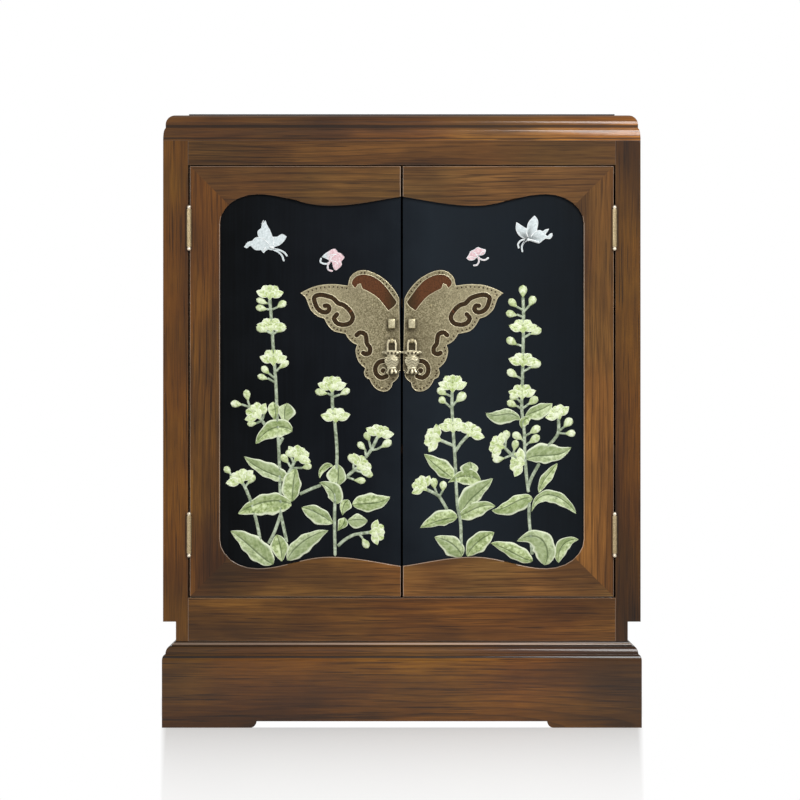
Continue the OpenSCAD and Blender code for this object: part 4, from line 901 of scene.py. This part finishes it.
LEFT_BUDS = [
    [[218, 480], [238, 488], 10], [[219, 471], [239, 475], 11], [[205, 474], [189, 484], 12],
    [[219, 434], [238, 443], 12], [[205, 433], [189, 444], 10],
    [[216, 365], [229, 378], 11], [[218, 357], [236, 363], 10], [[202, 374], [185, 387], 11],
    [[251, 321], [255, 340], 12], [[260, 315], [280, 318], 12],
    [[225, 298], [224, 313], 10], [[236, 285], [253, 284], 10],
    [[279, 202], [290, 214], 11], [[252, 185], [241, 201], 12],
    [[185, 219], [197, 234], 12], [[180, 228], [188, 241], 11], [[164, 212], [147, 216], 11],
    [[120, 333], [142, 338], 12], [[102, 331], [85, 341], 11],
    [[59, 241], [72, 254], 11], [[53, 255], [59, 271], 12], [[35, 245], [17, 257], 13],
    [[79, 218], [85, 235], 12], [[65, 204], [47, 200], 11], [[79, 192], [59, 191], 11],
    [[65, 98], [55, 81], 12]
]
RIGHT_BUDS = [
    [[74, 331], [58, 342], 13], [[73, 317], [61, 327], 12], [[88, 319], [104, 335], 15],
    [[54, 177], [51, 196], 13], [[67, 173], [68, 191], 12],
    [[198, 490], [198, 511], 14], [[189, 474], [175, 488], 12], [[189, 461], [170, 466], 12],
    [[208, 476], [217, 493], 13], [[210, 430], [228, 440], 13], [[189, 413], [171, 424], 13],
    [[210, 375], [227, 386], 13], [[190, 360], [172, 372], 13],
    [[189, 324], [176, 330], 9], [[189, 312], [172, 321], 12], [[206, 315], [222, 328], 13],
    [[208, 268], [226, 280], 13], [[207, 252], [225, 265], 13],
    [[198, 258], [181, 269], 13], [[183, 239], [187, 258], 12],
    [[170, 255], [171, 274], 13], [[169, 228], [148, 225], 12],
    [[264, 278], [278, 293], 14], [[266, 268], [284, 269], 12]
]


def plant(side, word, stems, twigs, leaves, flowers, buds):
    """The inlaid stems, leaves and blossoms of one door."""
    foliage, blossoms = f"foliage_{word}", f"blossoms_{word}"
    made = [stem(side, points, 5.4, k) for k, points in enumerate(stems)]
    made += [stem(side, points, 3.8, 20 + k) for k, points in enumerate(twigs)]
    stand_for(joined(made, f"stone_stems_{word}"), foliage, stem_stone)
    made = [leaf(side, *shape, k) for k, shape in enumerate(leaves)]
    stand_for(joined(made, f"stone_leaves_{word}"), foliage, leaf_stone)
    made = [petal for k, head in enumerate(flowers) for petal in flower(side, *head, 10 * k)]
    stand_for(joined(made, f"stone_flowers_{word}"), blossoms, petal_stone)
    made = [bud(side, *shape, k) for k, shape in enumerate(buds)]
    stand_for(joined(made, f"stone_buds_{word}"), blossoms, bud_stone)


plant(LEFT, "left", LEFT_STEMS, LEFT_TWIGS, LEFT_LEAVES, LEFT_FLOWERS, LEFT_BUDS)
plant(RIGHT, "right", RIGHT_STEMS, RIGHT_TWIGS, RIGHT_LEAVES, RIGHT_FLOWERS, RIGHT_BUDS)


# Butterflies: the solids' own outlines with their rims rounded, and ribs and bodies laid on them. A rib has
# its places, up from the head of the opening, and its width

RIBS = {
    "left": [
        ([(234, -118), (226, -121), (219, -127), (215, -132)], 1.8),
        ([(210.5, -117), (209.5, -125), (210, -131)], 1.6), ([(216, -133), (209, -136)], 4.4),
        ([(222, -134), (226, -140)], 2.4), ([(229, -97), (226, -90)], 1.4),
        ([(118, -156), (114, -150), (108, -145)], 1.4), ([(116, -156), (108, -158), (103, -163)], 1.4),
        ([(121, -150), (113, -146), (106, -147)], 1.3)],
    "right": [
        ([(202.5, -103), (203.5, -110), (206.5, -118)], 1.8), ([(222, -107), (216, -111), (211, -117)], 1.8),
        ([(205, -121), (214, -123), (224, -126)], 3.4), ([(205, -120), (208, -124)], 4.0),
        ([(124, -150), (120, -144), (116, -142)], 1.4), ([(126, -148), (130, -143), (135, -141)], 1.4),
        ([(121, -152), (114, -150), (109, -151)], 1.3)]}
HEAD = (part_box("front_top_rail")[0].z - FOOT) / MM
for side, word in ((LEFT, "left"), (RIGHT, "right")):
    node = f"butterflies_{word}"
    wings = copy_of(node, f"stone_wings_{word}")
    # The wings' eased edges take the brighter edge stone, a painted highlight.
    ease_edges(1.0, 50, (wing_stone, edge_stone), held=word == "left")
    stand_for(wings, node, wing_stone, edge_stone)
    ribs = [stem(side, [(u, v + HEAD) for u, v in line], width, k)
            for k, (line, width) in enumerate(RIBS[word])]
    ribs = joined(ribs, f"stone_ribs_{word}")
    with whole_mesh():
        bpy.ops.transform.translate(value=(0, -2.3 * MM, 0))
    stand_for(ribs, node, rib_stone)


# Lock plate: the solid with its sunk bands widened, a bright wire along every edge of its face, a row of
# stamped rings inside the outline, and patina in the bands. It is red above RED_FROM and nearer the meeting
# line than RED_TO. Bands and wires move by millimetres

BAND_OUT, WIRE_OUT, WIRE_IN = 0.7, 0.6, 0.8
RIM_RADIUS = 0.65 * MM
RING_RADIUS, RING_STEP, RING_INSET = 1.4 * MM, 7.4 * MM, 4.6 * MM
RED_FROM, RED_TO = 48, 84


def enclosed(loop):
    """Twice the area inside a loop, which is negative where it runs clockwise."""
    return sum(a.x * b.y - b.x * a.y for a, b in zip(loop, loop[1:] + loop[:1]))


def spread(loop, out):
    """How far each point of a loop moves when its inside grows by this many millimetres all round."""
    out *= math.copysign(MM, enclosed(loop))
    for before, after in zip(loop[-1:] + loop[:-1], loop[1:] + loop[:1]):
        step = (after - before).normalized() * out
        yield Vector((step.y, 0, -step.x))


def rim_wires(plate, name, near, left_out):
    """Round wires just beside the edges where the plate's flat face ends, the outline among those edges, and
    the loops round the bands."""
    only(plate)
    bpy.ops.object.duplicate()
    copy = bpy.context.active_object
    mesh = copy.data
    in_front = {key: sorted(face.normal.y < -0.99 and abs(face.center.y - near) < 0.1 * MM for face in faces)
                for key, faces in faces_beside(mesh).items()}
    bpy.ops.object.mode_set(mode="EDIT")
    bpy.ops.mesh.select_mode(type="EDGE")
    bpy.ops.mesh.select_all(action="DESELECT")
    bpy.ops.object.mode_set(mode="OBJECT")
    for edge in mesh.edges:
        middle = (mesh.vertices[edge.vertices[0]].co + mesh.vertices[edge.vertices[1]].co) / 2
        edge.select = in_front.get(edge.key) == [False, True] and not left_out(middle)
    bpy.ops.object.mode_set(mode="EDIT")
    bpy.ops.mesh.duplicate()
    bpy.ops.mesh.separate(type="SELECTED")
    bpy.ops.object.mode_set(mode="OBJECT")
    wires = [piece for piece in bpy.context.selected_objects if piece != copy][0]
    bpy.data.objects.remove(copy)
    only(wires)
    with whole_mesh():
        bpy.ops.mesh.delete(type="ONLY_FACE")
    bpy.ops.object.convert(target="CURVE")
    curve = bpy.context.active_object.data
    loops = [[Vector((p.co.x, p.co.z)) for p in spline.points] for spline in curve.splines]
    outline = max(loops, key=lambda loop: abs(enclosed(loop)))
    for spline, loop in zip(curve.splines, loops):
        out = -WIRE_IN if loop is outline else BAND_OUT + WIRE_OUT
        for point, move in zip(spline.points, spread(loop, out)):
            point.co.x += move.x
            point.co.z += move.z
    curve.bevel_depth = RIM_RADIUS
    curve.bevel_resolution = 2
    bpy.ops.object.convert(target="MESH")
    wires = named(name)
    with whole_mesh():
        bpy.ops.mesh.remove_doubles(threshold=0.00001)
        bpy.ops.mesh.normals_make_consistent(inside=False)
        bpy.ops.transform.translate(value=(0, 0.35 * RIM_RADIUS, 0))
    smooth_below(60)
    return wires, outline, [loop for loop in loops if loop is not outline]


def stamped_rings(outline, bands, face, name):
    """Small rings struck into the plate at even steps inside its outline, clear of its bands."""
    bpy.ops.mesh.primitive_circle_add(vertices=10, radius=RING_RADIUS, fill_type="NGON",
                                      location=(0, face, 0), rotation=(math.pi / 2, 0, 0))
    bpy.ops.object.transform_apply(location=True, rotation=True, scale=True)
    ring = bpy.context.active_object
    with whole_mesh():
        bpy.ops.mesh.extrude_region_move(TRANSFORM_OT_translate={"value": (0, -0.16 * MM, 0)})
        bpy.ops.mesh.inset(thickness=0.35 * MM)
        bpy.ops.transform.translate(value=(0, 0.1 * MM, 0))
    turn = math.copysign(1, enclosed(outline))
    walked, rings = 0.0, []
    for a, b in zip(outline, outline[1:] + outline[:1]):
        step = b - a
        inwards = Vector((-step.y, step.x)).normalized() * turn
        while walked < step.length:
            place = a + step * (walked / step.length) + inwards * RING_INSET
            walked += RING_STEP
            off_bands = all((place - p).length >= 3.4 * MM for loop in bands for p in loop)
            off_rim = abs(place.x) >= 12 * MM and all((place - p).length > 4 * MM for p in outline)
            if off_bands and off_rim:
                only(ring)
                bpy.ops.object.duplicate()
                with whole_mesh():
                    bpy.ops.transform.translate(value=(place.x, 0, place.y))
                rings.append(bpy.context.active_object)
        walked -= step.length
    bpy.data.objects.remove(ring)
    return joined(rings, name)


PIVOT = FOOT + 0.42
NAILS = ((48, 58), (151, 74), (33, -77), (68, -22))


def in_plate(place):
    """A place on the lock plate in millimetres, out from the meeting line and up from the pulls' pivot."""
    return abs(place.x) / MM, (place.z - PIVOT) / MM


def fitting_hole(place):
    """Whether a place lies at a nail, or at the holes of the staple and the pull eye."""
    u, v = in_plate(place)
    return min(math.hypot(u - a, v - b) for a, b in NAILS) < 2 or (6 < u < 27 and -5 < v < 45)


for word in ("left", "right"):
    node = f"lock_plate_{word}"
    plate = copy_of(node, f"butterfly_plate_{word}")
    mesh = plate.data
    low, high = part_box(node)
    wires, outline, bands = rim_wires(plate, f"plate_rims_{word}", low.y, fitting_hole)
    stand_for(wires, node, rim_brass)
    stand_for(stamped_rings(outline, bands, low.y, f"plate_stamps_{word}"), node, patina_brown)
    wider = {(round(point.x, 5), round(point.y, 5)): move
             for loop in bands for point, move in zip(loop, spread(loop, BAND_OUT))}
    for vertex in mesh.vertices:
        vertex.co += wider.get((round(vertex.co.x, 5), round(vertex.co.z, 5)), Vector())
    only(plate)
    with whole_mesh():
        bpy.ops.mesh.quads_convert_to_tris(quad_method="BEAUTY", ngon_method="BEAUTY")
    bpy.ops.object.shade_flat()
    stand_for(plate, node, plate_brass, patina_brown, patina_red)
    for face in mesh.polygons:
        u, v = in_plate(face.center)
        if low.y + 0.2 * MM < face.center.y < high.y - 0.2 * MM and face.normal.y < -0.5:
            face.material_index = 2 if v > RED_FROM and u < RED_TO else 1

for word in ("left", "right"):
    for node, finish in ((f"lock_staple_{word}", staple_brass), (f"pull_eye_{word}", nail_brass)):
        fitting = copy_of(node, node + "_forging")
        ease_edges(0.8, 40)
        stand_for(fitting, node, finish)


# Drop pulls: a bail, and a basket with a leaf-ended rim that is round in front and flat behind. The basket's
# profile gives its height from the pivot and its radius, and its parts lie between the heights below

BASKET = ((-17.2, 0), (-17.6, 5.0), (-18.4, 9.2), (-19.4, 10.8), (-21.6, 10.8), (-23.0, 8.6), (-24.2, 7.4),
          (-25.8, 8.2), (-26.8, 11.0), (-28.0, 11.4), (-29.0, 10.2), (-30.6, 11.4), (-33.2, 12.3),
          (-36.6, 11.4), (-40.2, 9.6), (-43.2, 7.4), (-44.6, 8.4), (-45.8, 7.0), (-48.4, 8.2),
          (-51.6, 10.6), (-53.4, 10.2), (-54.4, 6.4), (-55.0, 0))
BAIL_FOOT, COLLAR_FOOT, NECK_FOOT, BOWL_HEAD, BOWL_FOOT, TASSEL_HEAD = -18.6, -23, -26.2, -29.4, -43, -46
WIDEST = 11.4


def carving(height, turn):
    """How much a place on the basket is sunk, how much it stands out sideways, and how far it is raised."""
    front = abs(math.cos(turn))
    if height > COLLAR_FOOT:
        leaf = front ** 8
        return 0.10 * (0.5 - 0.5 * math.cos(10 * turn)) * (1 - leaf), 1 + 0.48 * leaf, 1.6 * leaf
    if height > NECK_FOOT:
        return 0.02, 1, 0
    if BOWL_FOOT < height < BOWL_HEAD:
        chevron = 6.4 * abs((3 * (turn + math.pi / 2) / math.pi) % 1 - 0.5)
        return 0.07 * max(0, 1 - abs((height + 33.4 - chevron) % 4.4 - 2.2) / 1.1), 1, 0
    if height < TASSEL_HEAD:
        return 0.09 * (0.5 - 0.5 * math.cos(8 * turn)), 1 + 0.16 * max(0, front - 0.6) / 0.4, 0
    return 0, 1, 0


for word in ("left", "right"):
    node = f"pull_{word}"
    low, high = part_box(node)
    middle = (low + high) / 2
    bail = copy_of(node, f"pull_bail_{word}")
    with whole_mesh():
        bpy.ops.mesh.bisect(plane_co=(0, 0, PIVOT + BAIL_FOOT * MM), plane_no=(0, 0, 1), use_fill=True,
                            clear_inner=True)
    ease_edges(0.8, 42)
    stand_for(bail, node, rim_brass)
    profile = through(BASKET, 3)
    rings = len(profile) - 1
    bpy.ops.mesh.primitive_uv_sphere_add(segments=72, ring_count=rings, radius=1)
    basket = bpy.context.active_object
    basket.name = f"pull_basket_{word}"
    deep = 0.97 * (high.y - low.y) / 2
    hollow = []
    for vertex in basket.data.vertices:
        height, radius = profile[round(math.acos(max(-1, min(1, vertex.co.z))) * rings / math.pi)]
        radius = max(radius, 0)
        turn = math.atan2(vertex.co.y, vertex.co.x)
        sunk, wing, raised = carving(height, turn)
        hollow.append(min(1, sunk * 13))
        vertex.co = (middle.x + radius * MM * wing * (1 - sunk) * math.cos(turn),
                     middle.y + deep * min(1, radius / WIDEST) * (1 - sunk) * math.sin(turn),
                     PIVOT + (height + raised) * MM)
    marks = basket.data.uv_layers[0].data
    for loop in basket.data.loops:
        marks[loop.index].uv = (hollow[loop.vertex_index], 0)
    smooth_below(60)
    bpy.ops.object.transform_apply(location=True, rotation=True, scale=True)
    stand_for(basket, node, pull_brass)


# Floor, light and camera. To the camera the floor fades to plain white beside the base, under it and far away

bpy.ops.mesh.primitive_plane_add(size=60, location=(0, 0, 0))
floor = bpy.context.active_object
floor.name = "studio_floor"
pale = Finish("studio_floor", roughness=0.28, specular=0.3)
pale.set("Base Color", (0.9, 0.885, 0.865, 1))
x, y, _ = pale.split()
# Beside and under the base, where the cabinet's shadow falls, the floor glows plain white to the camera.
beside = abs(x) / y.between(-2.2, 2.2, 0.79, 1.25)
fade = beside.between(0.376, 0.394)
for cover in (y.between(-0.2, -2.4, 0.4, 0.85), y.between(-0.188, -0.182) * y.between(0.2, 0.17),
              y.between(-2.1, -3.6), y.between(0.1, 0.9)):
    fade = fade.larger(cover)
seen = pale.node("LightPath", "Is Camera Ray")
lit = Reading(pale, pale.shader.outputs[0])
blend = pale.node("MixShader", 0, {0: fade * seen, 1: lit, 2: pale.node("Emission", 0)})
pale.give(pale.tree.nodes["Material Output"].inputs["Surface"], blend)
wear(floor.data, pale.material)

world = bpy.data.worlds.new("studio")
bpy.context.scene.world = world
world.use_nodes = True
sky = Nodes(world.node_tree)
background = sky.tree.nodes["Background"].inputs
seen = sky.node("LightPath", "Is Camera Ray").larger(sky.node("LightPath", "Is Transmission Ray"))
sky.give(background["Color"], (1, 1, 1, 1))
sky.give(background["Strength"], seen.between(0, 1, 0.34, 1.0))


def facing(name, data, place, aim):
    """A light or camera that looks from a place towards its aim."""
    holder = bpy.data.objects.new(name, data)
    bpy.context.scene.collection.objects.link(holder)
    holder.location = place
    holder.rotation_euler = (Vector(aim) - Vector(place)).to_track_quat("-Z", "Y").to_euler()
    return holder


for name, place, aim, width, height, power in (
        ("key_softbox", (0.95, -2.5, 2.25), (0, 0, 0.55), 1.3, 1.5, 60),
        ("fill_softbox", (-2.6, -2.4, 1.4), (0, 0, 0.5), 1.6, 1.6, 24)):
    lamp = bpy.data.lights.new(name, "AREA")
    lamp.shape = "RECTANGLE"
    lamp.size = width
    lamp.size_y = height
    lamp.energy = power
    facing(name, lamp, place, aim)

camera = bpy.data.cameras.new("camera")
camera.sensor_width = 36
camera.lens = 261.5
bpy.context.scene.camera = facing("camera", camera, (-0.003, -9.66, 0.5), (-0.003, -0.18, 0.534))
bpy.context.scene.view_settings.view_transform = "Standard"
